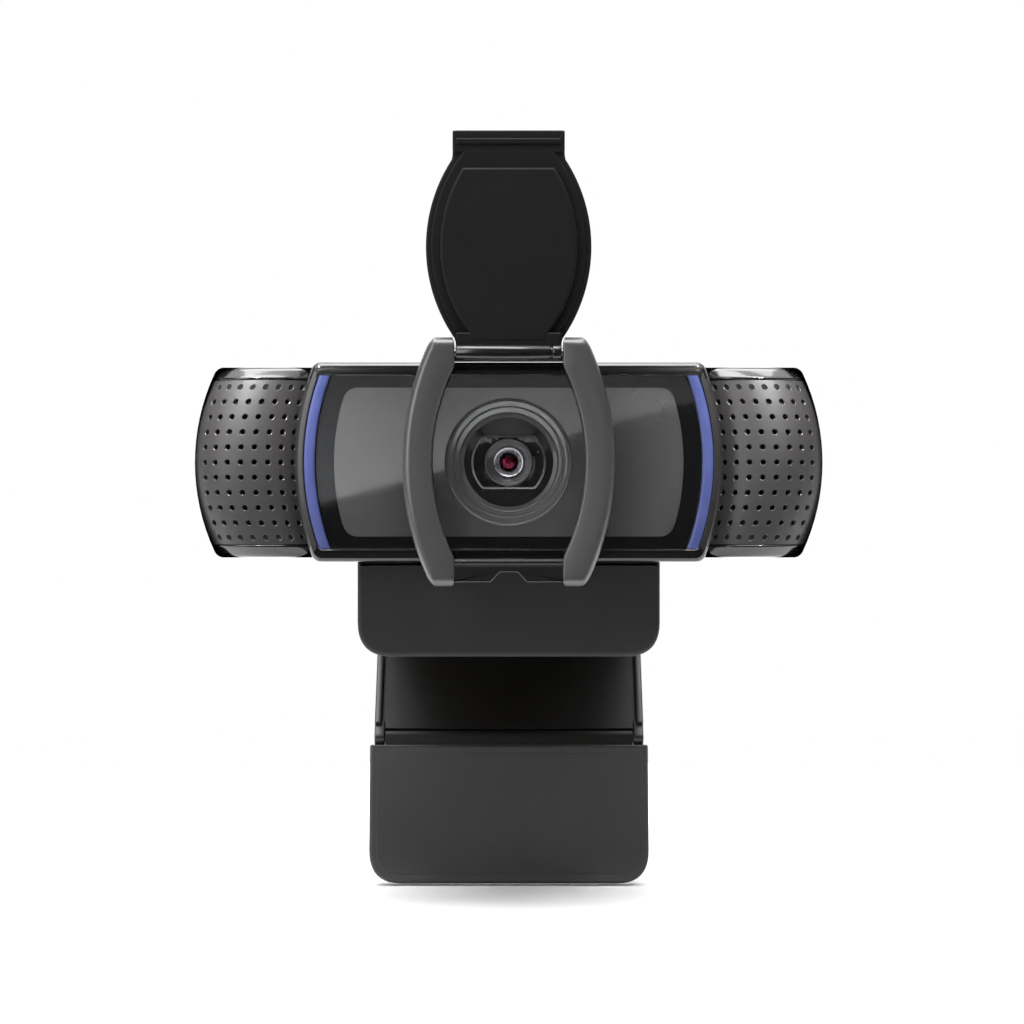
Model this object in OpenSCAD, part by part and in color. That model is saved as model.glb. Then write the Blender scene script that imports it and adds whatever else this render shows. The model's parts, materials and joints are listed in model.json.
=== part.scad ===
// Clip-on webcam with a flip-up privacy shutter and a folding monitor clip.
// Millimetres, +Z up, the lens looks along -Y. The origin is the centre of the pad
// under the clip plate, which rests on the top edge of a monitor.
// Every module is drawn about the lens axis and placed by on_row().

/* [Camera body] */
// Width over the two end grilles
body_w = 95.2; // [90:0.2:100]
// Height of the middle section
body_h = 30; // [29:0.5:31]
// Height of the end sections
end_h = 28.8; // [27.8:0.2:28.8]
// Front face of the window, forward of the body's middle
front_y = -14; // [-14.5:0.1:-13.8]
// Back of the rear shell
back_y = 10; // [9:0.5:14]
// Wall of the shells
wall = 1.4; // [1.2:0.1:1.6]

/* [Lens] */
// Outer radius of the stepped ring trim
ring_r = 9.6; // [9.2:0.1:10]
// Radius of the dark well around the lens
well_r = 6.7; // [6.4:0.1:7]
// Radius of the lens barrel
barrel_r = 3.6; // [3.2:0.1:3.8]
// Focusing travel of the barrel
focus_travel = 0.3; // [0.1:0.05:0.3]

/* [Shutter] */
// Height of the shutter's hinge above the lens axis
flap_hinge_z = 16.3; // [16.2:0.1:16.6]
// Half width of the flap at its widest
flap_half_w = 12.4; // [12:0.1:12.8]
// Length of the flap from hinge to tab
flap_len = 33.3; // [32:0.1:33.6]

/* [Clip] */
// Width of the clip plate and lip
clip_w = 46.2; // [44:0.2:47]
// Thickness of the clip plate
plate_t = 3.5; // [3:0.1:4]
// Height of the lip below the plate's top
lip_h = 14.6; // [12:0.1:16]
// Length of the leg between its hinges
leg_len = 32.4; // [31:0.1:32.8]
// Length of the foot from its hinge
foot_len = 24; // [20:0.1:24.2]
// Slope of the leg below the plate
leg_angle = 47.3; // [30:0.1:70]
// Slope of the foot below the plate
foot_angle = 77.4; // [60:0.1:90]
// Core radius of the tripod thread
tripod_r = 3.175; // [3.175]

/* [Hidden] */

$fn = 96;
// a cut runs this far past a face
over = 1;
// radial clearance of a hinge pin in its moving knuckle
pin_gap = 0.05;
// gap between parts that pass each other
pass_gap = 0.3;

// the lens axis stands over the clip like this
plate_top_z = -15;
plate_under_z = plate_top_z - plate_t;
pad_t = 0.6;
lip_front_y = -6;
lip_t = 3;
plate_rear_y = 58;
pad_y0 = -2;
pad_len = 22;
row_y = pad_y0 + pad_len / 2;
row_z = plate_under_z - pad_t;

// arcs that bound the middle section on each side
arc_x = 7.5;
window_arc_r = 36.6;
strip_arc_r = 38.3;
frame_arc_r = 39.7;
panel_arc_r = 33.8;
window_half_z = 13.2;
panel_half_z = 11.25;
window_t = 1;
frame_back_y = -9;

// grille: a pillow turned about an axis near the lens
grille_axis_x = 1;
grille_crown_r = 38.3;
grille_pillow_r = 10;
grille_crown_y = -12.9;
grille_half_z = 12.4;
grille_t = 1.2;
end_arc_r = 43.4;

// shutter
frame_front_y = -17.5;
hook_gap = 0.15;
arm_outer_r = 41.7;
arm_outer_x = 15.9;
arm_inner_r = 32.2;
arm_inner_x = 11.5;
arm_end_x = 8.1;
arm_half_z = 18.6;
flap_hinge_y = -16.5;
flap_arc_r = 24;
flap_pin_r = 0.6;
knuckle_r = 1.2;
flap_mid_z = flap_hinge_z + 15.9;

// tilt hinge
tilt_y = 3;
tilt_z = -13.2;
tilt_r = 1.7;
tilt_pin_r = 0.8;
tilt_knuckle_half = 6;
tilt_ear_w = 4;
belly_z = -11.4;
belly_half_x = 25;

// leg and foot hinges
leg_y = 56;
leg_z = -21.2;
leg_t = 3.8;
leg_pin_r = 0.9;
leg_knuckle_half = 18;
foot_t = 3;
foot_w = 46;
foot_pin_r = 0.6;
foot_ear_r = 1.2;
foot_knuckle_half = 20.3;
// the foot's full width starts this far from its hinge
foot_start = 1.6;
foot_pad_start = 2.8;
foot_rim = 1.2;
foot_y = leg_y - leg_len * cos(leg_angle);
foot_z = leg_z - leg_len * sin(leg_angle);
corner_r = 5.2;

// places a module that is drawn about the lens axis
module on_row() {
    translate([0, -row_y, -row_z]) children();
}

// a cylinder along Y from y0 to y1 about (x, z)
module rod_y(r, y0, y1, x = 0, z = 0) {
    translate([x, y0, z]) rotate([-90, 0, 0]) cylinder(r = r, h = y1 - y0);
}

// a cylinder along X, half on each side of the middle, about (y, z)
module rod_x(r, half, y, z) {
    translate([-half, y, z]) rotate([0, 90, 0]) cylinder(r = r, h = 2 * half);
}

// a box from one corner to the other
module box(lo, hi) {
    translate(lo) cube(hi - lo);
}

// the lens-shaped block between two side arcs, z half height, y0 to y1
module arc_block(arc_r, half_z, y0, y1) {
    intersection() {
        rod_y(arc_r, y0, y1, arc_x);
        rod_y(arc_r, y0, y1, -arc_x);
        box([-body_w, y0, -half_z], [body_w, y1, half_z]);
    }
}

// draws its child for the left side, or mirrored for the right
module side(right) {
    mirror([right ? 1 : 0, 0, 0]) children();
}

// ---------- front of the camera ----------

module front_window() {
    color([0.75, 0.8, 0.85, 0.35]) on_row()
        arc_block(window_arc_r, window_half_z, front_y, front_y + window_t);
}

// the four pillars' places, on the frame beside the panel opening
pillar_x = 27;
pillar_z = 7;
pillar_r = 1.35;
screw_r = 0.8;
screw_head_r = 1.5;
screw_head_t = 1.1;
board_front_y = -1.6;
board_t = 1.6;

module at_pillars() {
    for (sx = [-1, 1], sz = [-1, 1])
        translate([sx * pillar_x, 0, sz * pillar_z]) children();
}

module front_frame() {
    pocket_y = front_y + window_t;
    color([0.03, 0.03, 0.035]) on_row() difference() {
        union() {
            arc_block(frame_arc_r, body_h / 2, front_y + 0.1, frame_back_y);
            at_pillars() rod_y(pillar_r, frame_back_y, board_front_y);
        }
        arc_block(strip_arc_r, window_half_z, front_y - over, pocket_y);
        arc_block(panel_arc_r, panel_half_z, pocket_y - over, frame_back_y + over);
        difference() {
            arc_block(strip_arc_r, window_half_z - 0.4, pocket_y - over, frame_back_y + over);
            arc_block(window_arc_r, body_h, pocket_y - 2 * over, frame_back_y + 2 * over);
        }
        at_pillars() rod_y(screw_r, frame_back_y + over, board_front_y + over);
    }
}

module inner_panel() {
    panel_y = front_y + window_t;
    panel_t = 0.8;
    color([0.2, 0.2, 0.21]) on_row() difference() {
        arc_block(panel_arc_r, panel_half_z, panel_y, panel_y + panel_t);
        rod_y(ring_r, panel_y - over, panel_y + panel_t + over);
    }
}

module ring_trim() {
    step = (ring_r - well_r) / 3;
    drop = 0.3;
    top = 1.35;
    // the profile is radius and height above the trim's back
    color([0.22, 0.22, 0.23]) on_row() translate([0, front_y + window_t + 0.05 + top, 0])
        rotate([90, 0, 0]) rotate_extrude() polygon([
            [well_r, 0], [ring_r, 0], [ring_r, top],
            [ring_r - step, top], [ring_r - step, top - drop],
            [ring_r - 2 * step, top - drop], [ring_r - 2 * step, top - 2 * drop],
            [well_r, top - 2 * drop]
        ]);
}

lens_front_y = front_y + 2;
bezel_open_r = 5.4;
bezel_flat_z = 3.8;

module lens_bezel() {
    y0 = lens_front_y - 0.2;
    y1 = lens_front_y + 1.8;
    color([0.02, 0.02, 0.02]) on_row() difference() {
        rod_y(well_r, y0, y1);
        intersection() {
            rod_y(bezel_open_r, y0 - over, y1 + over);
            box([-well_r, y0 - over, -bezel_flat_z], [well_r, y1 + over, bezel_flat_z]);
        }
    }
}

// ---------- lens module ----------

barrel_front_y = lens_front_y + 0.4;
barrel_back_y = -4;
element_r = 2.45;
coil_r = 4.5;
coil_y0 = -8;
coil_y1 = -5.5;
magnet_t = 1.5;
magnet_len = 3;
spring_t = 0.1;
housing_half = 6.5;
housing_front_y = -9.8;
housing_back_y = -3.2;
housing_wall = 0.8;

module lens_barrel() {
    color([0.12, 0.12, 0.13]) on_row() difference() {
        rod_y(barrel_r, barrel_front_y, barrel_back_y);
        rod_y(element_r, barrel_front_y - over, barrel_back_y + over);
    }
}

// a plano-convex element whose dome faces -Y
module element(y, t, dome_r) {
    intersection() {
        rod_y(element_r, y, y + t);
        translate([0, y + dome_r, 0]) sphere(r = dome_r);
    }
}

module front_lens() {
    color([0.3, 0.25, 0.4, 0.6]) on_row() element(barrel_front_y + 0.3, 1.8, 4);
}

module rear_lens() {
    color([0.4, 0.4, 0.5, 0.6]) on_row() element(barrel_back_y - 2, 1.6, 6);
}

module lens_retainer() {
    color([0.6, 0.6, 0.62]) on_row() difference() {
        rod_y(barrel_r, barrel_front_y - 0.5, barrel_front_y);
        rod_y(element_r - 0.6, barrel_front_y - 0.5 - over, barrel_front_y + over);
    }
}

module focus_coil() {
    color([0.72, 0.42, 0.22]) on_row() difference() {
        rod_y(coil_r, coil_y0, coil_y1);
        rod_y(barrel_r, coil_y0 - over, coil_y1 + over);
    }
}

module focus_housing() {
    cavity = housing_half - housing_wall;
    color([0.55, 0.55, 0.57]) on_row() difference() {
        box([-housing_half, housing_front_y, -housing_half],
            [housing_half, housing_back_y, housing_half]);
        box([-cavity, housing_front_y + housing_wall, -cavity],
            [cavity, housing_back_y - housing_wall, cavity]);
        rod_y(barrel_r + 0.4, housing_front_y - over, housing_back_y + over);
    }
}

module focus_magnets() {
    corner = housing_half - housing_wall - magnet_t / 2;
    color([0.5, 0.5, 0.52]) on_row() for (sx = [-1, 1], sz = [-1, 1])
        translate([sx * corner, (coil_y0 + coil_y1) / 2, sz * corner])
            cube([magnet_t, magnet_len, magnet_t], center = true);
}

module focus_springs() {
    color([0.75, 0.6, 0.3]) on_row()
        for (y = [housing_front_y + housing_wall, housing_back_y - housing_wall - spring_t])
            difference() {
                rod_y(housing_half - housing_wall, y, y + spring_t);
                rod_y(barrel_r + 0.6, y - over, y + over);
            }
}

filter_half = 3.6;
sensor_half_x = 2.9;
sensor_half_z = 2.3;
sensor_t = 0.6;

module sensor_holder() {
    color([0.05, 0.05, 0.05]) on_row() difference() {
        box([-housing_half, housing_back_y, -housing_half],
            [housing_half, board_front_y, housing_half]);
        box([-filter_half, housing_back_y - over, -filter_half],
            [filter_half, board_front_y + over, filter_half]);
    }
}

module infrared_filter() {
    color([0.6, 0.8, 0.85, 0.5]) on_row()
        box([-filter_half, housing_back_y + 0.2, -filter_half],
            [filter_half, housing_back_y + 0.6, filter_half]);
}

module image_sensor() {
    color([0.2, 0.3, 0.25]) on_row()
        box([-sensor_half_x, board_front_y - sensor_t, -sensor_half_z],
            [sensor_half_x, board_front_y, sensor_half_z]);
}

// ---------- electronics ----------

board_half_x = 31;
board_half_z = 9;
board_back_y = board_front_y + board_t;

module main_board() {
    color([0.05, 0.25, 0.12]) on_row() difference() {
        box([-board_half_x, board_front_y, -board_half_z],
            [board_half_x, board_back_y, board_half_z]);
        at_pillars() rod_y(screw_r, board_front_y - over, board_back_y + over);
    }
}

module shield_can() {
    can_t = 0.3;
    can_h = 1.8;
    half_x = 7;
    half_z = 5;
    color([0.75, 0.75, 0.76]) on_row() difference() {
        box([-half_x, board_back_y, -half_z], [half_x, board_back_y + can_h, half_z]);
        box([can_t - half_x, board_back_y - over, can_t - half_z],
            [half_x - can_t, board_back_y + can_h - can_t, half_z - can_t]);
    }
}

module processor_chip() {
    half = 3.5;
    chip_t = 1.1;
    color([0.08, 0.08, 0.08]) on_row()
        box([-half, board_back_y, -half], [half, board_back_y + chip_t, half]);
}

module memory_chip() {
    half = 2.5;
    low_z = 5.6;
    high_z = 8.4;
    chip_t = 0.9;
    color([0.08, 0.08, 0.08]) on_row()
        box([-half, board_back_y, low_z], [half, board_back_y + chip_t, high_z]);
}

module cable_connector() {
    half = 4.5;
    low_z = -8.4;
    high_z = -5.4;
    tall = 3;
    rim = 0.6;
    color([0.9, 0.88, 0.8]) on_row() difference() {
        box([-half, board_back_y, low_z], [half, board_back_y + tall, high_z]);
        box([rim - half, board_back_y + tall / 3, low_z + rim],
            [half - rim, board_back_y + tall + over, high_z - rim]);
    }
}

module case_screws() {
    color([0.7, 0.7, 0.72]) on_row() at_pillars() union() {
        rod_y(screw_r, frame_back_y + over + 0.2, board_back_y);
        rod_y(screw_head_r, board_back_y, board_back_y + screw_head_t);
    }
}

// ---------- light strips and microphones ----------

strip_x = arc_x - (strip_arc_r + window_arc_r) / 2;
strip_back_y = -10.5;
// a block of the strip carries light forward from its lamp
pipe_half_x = 0.6;
pipe_half_z = 2;
pipe_back_y = -2.6;

module light_strip(right) {
    color([0.2, 0.3, 0.85]) on_row() side(right) union() {
        difference() {
            arc_block(strip_arc_r, window_half_z - 0.4, front_y + 0.1, strip_back_y);
            arc_block(window_arc_r, body_h, front_y - over, strip_back_y + over);
            box([0, front_y - over, -body_h], [body_w, strip_back_y + over, body_h]);
        }
        box([strip_x - pipe_half_x, strip_back_y - 0.1, -pipe_half_z],
            [strip_x + pipe_half_x, pipe_back_y, pipe_half_z]);
    }
}

module light_strip_left() { light_strip(false); }
module light_strip_right() { light_strip(true); }

module lamp(right) {
    half_x = 0.8;
    half_z = 1;
    color([0.95, 0.95, 0.85]) on_row() side(right)
        box([strip_x - half_x, pipe_back_y, -half_z], [strip_x + half_x, board_front_y, half_z]);
}

module lamp_left() { lamp(false); }
module lamp_right() { lamp(true); }

// the pillow's surface, set in from the grille's face by inset
module pillow(inset) {
    translate([-grille_axis_x, grille_crown_y + grille_pillow_r, 0]) rotate([90, 0, 0])
        rotate_extrude() translate([grille_crown_r, 0])
            circle(r = grille_pillow_r - inset);
}

// the stretch of one end section in front of the rear shell
module end_zone(z0, z1) {
    difference() {
        intersection() {
            box([-body_w, front_y - over, z0], [-arc_x, frame_back_y, z1]);
            rod_y(end_arc_r, front_y - 2 * over, frame_back_y + over,
                end_arc_r - body_w / 2);
        }
        rod_y(frame_arc_r, front_y - 3 * over, frame_back_y + over, arc_x);
    }
}

module pillow_skin(inset, t) {
    intersection() {
        difference() {
            pillow(inset);
            pillow(inset + t);
        }
        end_zone(-grille_half_z, grille_half_z);
    }
}

module grille_left() {
    color([0.13, 0.125, 0.125]) on_row() pillow_skin(0, grille_t);
}

module grille_right() {
    color([0.13, 0.125, 0.125]) on_row() side(true) pillow_skin(0, grille_t);
}

cloth_t = 0.3;

module acoustic_cloth_left() {
    color([0.05, 0.05, 0.05]) on_row() pillow_skin(grille_t, cloth_t);
}

module acoustic_cloth_right() {
    color([0.05, 0.05, 0.05]) on_row() side(true) pillow_skin(grille_t, cloth_t);
}

mic_x = 38.5;
mic_r = 2.2;
boot_r = 3.2;
boot_y0 = -8;
boot_y1 = -4;
boot_floor = 0.6;

module microphone(right) {
    color([0.75, 0.75, 0.76]) on_row() side(right)
        rod_y(mic_r, boot_y0 + 0.5, boot_y1 - boot_floor, -mic_x);
}

module microphone_left() { microphone(false); }
module microphone_right() { microphone(true); }

module microphone_boot(right) {
    color([0.06, 0.06, 0.06]) on_row() side(right) difference() {
        rod_y(boot_r, boot_y0, boot_y1, -mic_x);
        rod_y(mic_r, boot_y0 - over, boot_y1 - boot_floor, -mic_x);
    }
}

module microphone_boot_left() { microphone_boot(false); }
module microphone_boot_right() { microphone_boot(true); }

// ---------- rear shell ----------

// both edges of a tapering outline; each step is a place and how far it has narrowed there
function taper(steps, half) = concat(
    [for (step = steps) [step[0], half - step[1]]],
    [for (i = [len(steps) - 1 : -1 : 0]) [steps[i][0], steps[i][1] - half]]
);

// the shell's solid form, inset all round, from y0 to the inset back
module shell_block(inset, y0) {
    back = back_y - inset;
    half = end_h / 2 - inset;
    width = body_w / 2 - inset;
    side_steps = [[y0, 0], [-5, 0], [0, 0.7], [back - 4, 2.6], [back - 1, 4.4], [back, 6]];
    plan_steps = [[y0, 0], [-8, 0], [-4, 1.2], [2, 4], [back - 2, 8], [back, 11]];
    intersection() {
        union() for (sx = [-1, 1])
            rod_y(end_arc_r - inset, y0, back, sx * (body_w / 2 - end_arc_r));
        // side profile: straight at the front, tapering to a narrower back
        translate([-body_w, 0, 0]) rotate([90, 0, 90]) linear_extrude(2 * body_w)
            polygon(taper(side_steps, half));
        // plan: the ends sweep in towards the back
        translate([0, 0, -body_h]) linear_extrude(2 * body_h)
            polygon([for (p = taper(plan_steps, width)) [-p[1], p[0]]]);
    }
}

grommet_z = 2;
grommet_r = 3;
gland_r = 1.9;
gland_out = 3;
flange_t = 1;
flange_r = 3.8;
clip_ring_t = 0.6;
clip_ring_r = 3.6;

module rear_shell() {
    color([0.04, 0.04, 0.045]) on_row() difference() {
        union() {
            difference() {
                shell_block(0, frame_back_y);
                difference() {
                    shell_block(wall, frame_back_y - over);
                    box([-belly_half_x - wall, frame_back_y - 2 * over, -body_h],
                        [belly_half_x + wall, back_y + over, belly_z + wall]);
                }
                box([-belly_half_x, frame_back_y - over, -body_h],
                    [belly_half_x, back_y + over, belly_z]);
            }
            // ledges that close each end section above and below the grille
            for (right = [false, true], top = [0, 1]) mirror([0, 0, top]) side(right)
                intersection() {
                    pillow(0);
                    end_zone(grille_half_z, end_h / 2);
                }
            // posts that carry the microphone boots
            for (sx = [-1, 1]) intersection() {
                rod_y(boot_r, boot_y1, back_y, sx * mic_x);
                shell_block(0.1, frame_back_y);
            }
            // tilt knuckle
            box([-tilt_knuckle_half, tilt_y - tilt_r, tilt_z],
                [tilt_knuckle_half, tilt_y + tilt_r, belly_z + wall / 2]);
            rod_x(tilt_r, tilt_knuckle_half, tilt_y, tilt_z);
        }
        rod_x(tilt_pin_r + pin_gap, tilt_knuckle_half + over, tilt_y, tilt_z);
        rod_y(grommet_r, back_y - 2 * wall, back_y + over, 0, grommet_z);
    }
}

module cable_grommet() {
    color([0.05, 0.05, 0.05]) on_row() difference() {
        union() {
            rod_y(grommet_r, back_y - wall - clip_ring_t, back_y + gland_out, 0, grommet_z);
            rod_y(flange_r, back_y, back_y + flange_t, 0, grommet_z);
            rod_y(clip_ring_r, back_y - wall - clip_ring_t, back_y - wall, 0, grommet_z);
        }
        rod_y(gland_r, back_y - 3 * wall, back_y + gland_out + over, 0, grommet_z);
    }
}

// ---------- privacy shutter ----------

catch_y = frame_back_y + 0.05;
catch_t = 0.95;
catch_lip = 0.6;
hook_back_y = catch_y + catch_t;

// one curved arm with its hooks over the top and bottom of the body
module shutter_arm() {
    gap_z = body_h / 2 + hook_gap;
    difference() {
        intersection() {
            rod_y(arm_outer_r, frame_front_y, hook_back_y, arm_outer_r - arm_outer_x);
            box([-2 * arm_outer_x, frame_front_y, -arm_half_z],
                [-arm_end_x, hook_back_y, arm_half_z]);
        }
        rod_y(arm_inner_r, frame_front_y - over, hook_back_y + over,
            arm_inner_r - arm_inner_x);
        box([-2 * arm_outer_x, front_y - pass_gap, -gap_z], [0, catch_y, gap_z]);
        box([-2 * arm_outer_x, catch_y - over, catch_lip - gap_z],
            [0, hook_back_y + over, gap_z - catch_lip]);
    }
}

module shutter_frame() {
    bar_z0 = -18;
    bar_z1 = -14.7;
    notch_h = 1.6;
    notch_top = 1.2;
    notch_base = 2.7;
    color([0.14, 0.14, 0.145]) on_row() difference() {
        union() {
            for (right = [false, true]) side(right) shutter_arm();
            // upper and lower bars between the arms
            box([-arm_end_x, front_y - pass_gap, body_h / 2 + hook_gap],
                [arm_end_x, hook_back_y, flap_hinge_z - 0.35]);
            difference() {
                box([-arm_end_x, frame_front_y + 0.3, bar_z0],
                    [arm_end_x, front_y - pass_gap, bar_z1]);
                translate([0, 0, bar_z0]) rotate([90, 0, 0])
                    translate([0, 0, -frame_front_y - 4]) linear_extrude(8)
                        polygon([[-notch_base, -over], [notch_base, -over], [notch_base, 0],
                            [notch_top, notch_h], [-notch_top, notch_h],
                            [-notch_base, 0]]);
            }
        }
        rod_x(flap_pin_r, arm_end_x + 1.6, flap_hinge_y, flap_hinge_z);
    }
}

module shutter_pin() {
    color([0.7, 0.7, 0.72]) on_row()
        rod_x(flap_pin_r, arm_end_x + 1.6, flap_hinge_y, flap_hinge_z);
}

// lens-shaped outline of the flap, set in all round, from y0 to y1
module flap_leaf(inset, z0, z1, y0, y1) {
    centre_x = flap_arc_r - flap_half_w;
    intersection() {
        rod_y(flap_arc_r - inset, y0, y1, centre_x, flap_mid_z);
        rod_y(flap_arc_r - inset, y0, y1, -centre_x, flap_mid_z);
        box([-flap_half_w, y0, z0], [flap_half_w, y1, z1]);
    }
}

module shutter_flap() {
    half = arm_end_x - 0.2;
    leaf_y0 = -15.2;
    leaf_y1 = -14;
    pad_y = flap_hinge_y - 0.1;
    tip_z = flap_hinge_z + flap_len;
    tab_z = tip_z - 3.8;
    pad_inset = 2.1;
    color([0.05, 0.05, 0.05]) on_row() difference() {
        union() {
            rod_x(knuckle_r, half, flap_hinge_y, flap_hinge_z);
            box([-half, pad_y, flap_hinge_z], [half, leaf_y1, flap_hinge_z + 3]);
            flap_leaf(0, flap_hinge_z + 2, tab_z, leaf_y0, leaf_y1);
            flap_leaf(pad_inset, flap_hinge_z + 2, tab_z - 1.4, pad_y, leaf_y0);
            box([-half - 0.4, leaf_y0, tab_z - 0.5], [half + 0.4, leaf_y1, tip_z]);
        }
        rod_x(flap_pin_r + pin_gap, half + over, flap_hinge_y, flap_hinge_z);
    }
}

// ---------- tilt hinge ----------

washer_t = 0.25;

module tilt_bracket() {
    color([0.05, 0.05, 0.05]) on_row() difference() {
        for (sx = [-1, 1]) translate([sx * (tilt_knuckle_half + pass_gap + tilt_ear_w / 2), 0, 0])
            union() {
                box([-tilt_ear_w / 2, tilt_y - tilt_r, plate_top_z],
                    [tilt_ear_w / 2, tilt_y + tilt_r, tilt_z]);
                rod_x(tilt_r, tilt_ear_w / 2, tilt_y, tilt_z);
            }
        rod_x(tilt_pin_r, 2 * tilt_knuckle_half, tilt_y, tilt_z);
    }
}

module tilt_pin() {
    color([0.7, 0.7, 0.72]) on_row()
        rod_x(tilt_pin_r, tilt_knuckle_half + pass_gap + tilt_ear_w, tilt_y, tilt_z);
}

module friction_washers() {
    color([0.8, 0.65, 0.35]) on_row() for (sx = [-1, 1])
        translate([sx * (tilt_knuckle_half + pass_gap - washer_t / 2), 0, 0])
            difference() {
                rod_x(tilt_r - 0.2, washer_t / 2, tilt_y, tilt_z);
                rod_x(tilt_pin_r, washer_t, tilt_y, tilt_z);
            }
}

// ---------- monitor clip ----------

leg_ear_x = leg_knuckle_half + pass_gap;

// a plate facing Y with two rounded lower corners
module lip_plate(half, z0, z1, y0, y1) {
    union() {
        box([-half, y0, z0 + corner_r], [half, y1, z1]);
        box([corner_r - half, y0, z0], [half - corner_r, y1, z0 + corner_r]);
        for (sx = [-1, 1]) rod_y(corner_r, y0, y1, sx * (half - corner_r), z0 + corner_r);
    }
}

module clip_plate() {
    half = clip_w / 2;
    ear_r = leg_t / 2;
    color([0.1, 0.1, 0.1]) on_row() difference() {
        union() {
            box([-half, lip_front_y, plate_under_z], [half, plate_rear_y, plate_top_z]);
            lip_plate(half, plate_top_z - lip_h, plate_top_z, lip_front_y,
                lip_front_y + lip_t);
            for (sx = [-1, 1]) translate([sx * (leg_ear_x + half) / 2, 0, 0]) {
                ear_half = (half - leg_ear_x) / 2;
                box([-ear_half, leg_y - ear_r, leg_z],
                    [ear_half, leg_y + ear_r, plate_under_z]);
                rod_x(ear_r, ear_half, leg_y, leg_z);
            }
        }
        rod_x(leg_pin_r, half + over, leg_y, leg_z);
    }
}

module plate_pad() {
    half = clip_w / 2 - 3;
    color([0.12, 0.12, 0.12]) on_row()
        box([-half, pad_y0, plate_under_z - pad_t],
            [half, pad_y0 + pad_len, plate_under_z]);
}

module lip_pad() {
    half = clip_w / 2 - 2.5;
    y0 = lip_front_y + lip_t;
    color([0.12, 0.12, 0.12]) on_row()
        box([-half, y0, plate_top_z - lip_h + corner_r], [half, y0 + pad_t, plate_under_z - 1.2]);
}

module leg_pin() {
    color([0.7, 0.7, 0.72]) on_row() rod_x(leg_pin_r, clip_w / 2, leg_y, leg_z);
}

// ---------- leg and foot, each drawn flat along -Y from its hinge ----------

leg_half = 22.3;
rail_w = 1.1;
web_half_t = 0.9;
// the knuckle runs back to neck_y, and a cross rail starts at rail_y
neck_y = -3.6;
rail_y = -2.6;
boss_y = -20;
boss_r = 5.6;
boss_out = 6;
insert_r = 4.2;
insert_len = 5.6;

module on_leg() {
    on_row() translate([0, leg_y, leg_z]) rotate([leg_angle, 0, 0]) children();
}

module on_foot() {
    on_row() translate([0, foot_y, foot_z]) rotate([foot_angle, 0, 0]) children();
}

module leg() {
    half_t = leg_t / 2;
    web_end = foot_ear_r + 0.4 - leg_len;
    rail_end = foot_ear_r + 0.7 - leg_len;
    ear_x = foot_knuckle_half + pass_gap;
    color([0.06, 0.06, 0.06]) on_leg() difference() {
        union() {
            rod_x(half_t, leg_knuckle_half, 0, 0);
            box([-leg_knuckle_half, neck_y, -half_t], [leg_knuckle_half, 0, half_t]);
            box([-leg_half, web_end, -web_half_t], [leg_half, rail_y, web_half_t]);
            box([-leg_half, neck_y, -half_t], [leg_half, rail_y, half_t]);
            for (sx = [-1, 1]) {
                translate([sx * (leg_half - rail_w / 2), 0, 0])
                    box([-rail_w / 2, rail_end, -half_t], [rail_w / 2, rail_y, half_t]);
                translate([sx * (leg_half + ear_x) / 2, 0, 0]) {
                    ear_half = (leg_half - ear_x) / 2;
                    box([-ear_half, -leg_len, -foot_ear_r],
                        [ear_half, rail_end + over, foot_ear_r]);
                    rod_x(foot_ear_r, ear_half, -leg_len, 0);
                }
            }
            translate([0, boss_y, -boss_out]) cylinder(r = boss_r, h = boss_out + web_half_t);
        }
        rod_x(leg_pin_r + pin_gap, leg_knuckle_half + over, 0, 0);
        rod_x(foot_pin_r, leg_half + over, -leg_len, 0);
        translate([0, boss_y, -boss_out - over]) cylinder(r = insert_r, h = insert_len + over);
    }
}

module tripod_insert() {
    color([0.78, 0.62, 0.3]) on_leg() translate([0, boss_y, -boss_out]) difference() {
        cylinder(r = insert_r, h = insert_len);
        translate([0, 0, -over]) cylinder(r = tripod_r, h = insert_len + 2 * over);
    }
}

module foot_pin() {
    color([0.7, 0.7, 0.72]) on_leg() rod_x(foot_pin_r, leg_half, -leg_len, 0);
}

// a flat plate from y0 to its far end with two rounded far corners
module foot_plate(half, y0, y1, z0, z1) {
    union() {
        box([-half, y1 + corner_r, z0], [half, y0, z1]);
        box([corner_r - half, y1, z0], [half - corner_r, y1 + corner_r, z1]);
        for (sx = [-1, 1]) translate([sx * (half - corner_r), y1 + corner_r, z0])
            cylinder(r = corner_r, h = z1 - z0);
    }
}

module foot() {
    half_t = foot_t / 2;
    color([0.16, 0.155, 0.155]) on_foot() difference() {
        union() {
            rod_x(foot_ear_r, foot_knuckle_half, 0, 0);
            box([-foot_knuckle_half, -foot_start - over, -foot_ear_r],
                [foot_knuckle_half, 0, foot_ear_r]);
            foot_plate(foot_w / 2, -foot_start, -foot_len, -half_t, half_t);
        }
        rod_x(foot_pin_r + pin_gap, foot_knuckle_half + over, 0, 0);
        foot_plate(foot_w / 2 - foot_rim, -foot_pad_start, foot_rim - foot_len,
            half_t - pad_t, half_t + over);
    }
}

module foot_pad() {
    half_t = foot_t / 2;
    color([0.18, 0.175, 0.175]) on_foot()
        foot_plate(foot_w / 2 - foot_rim, -foot_pad_start, foot_rim - foot_len,
            half_t - pad_t, half_t);
}

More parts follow.
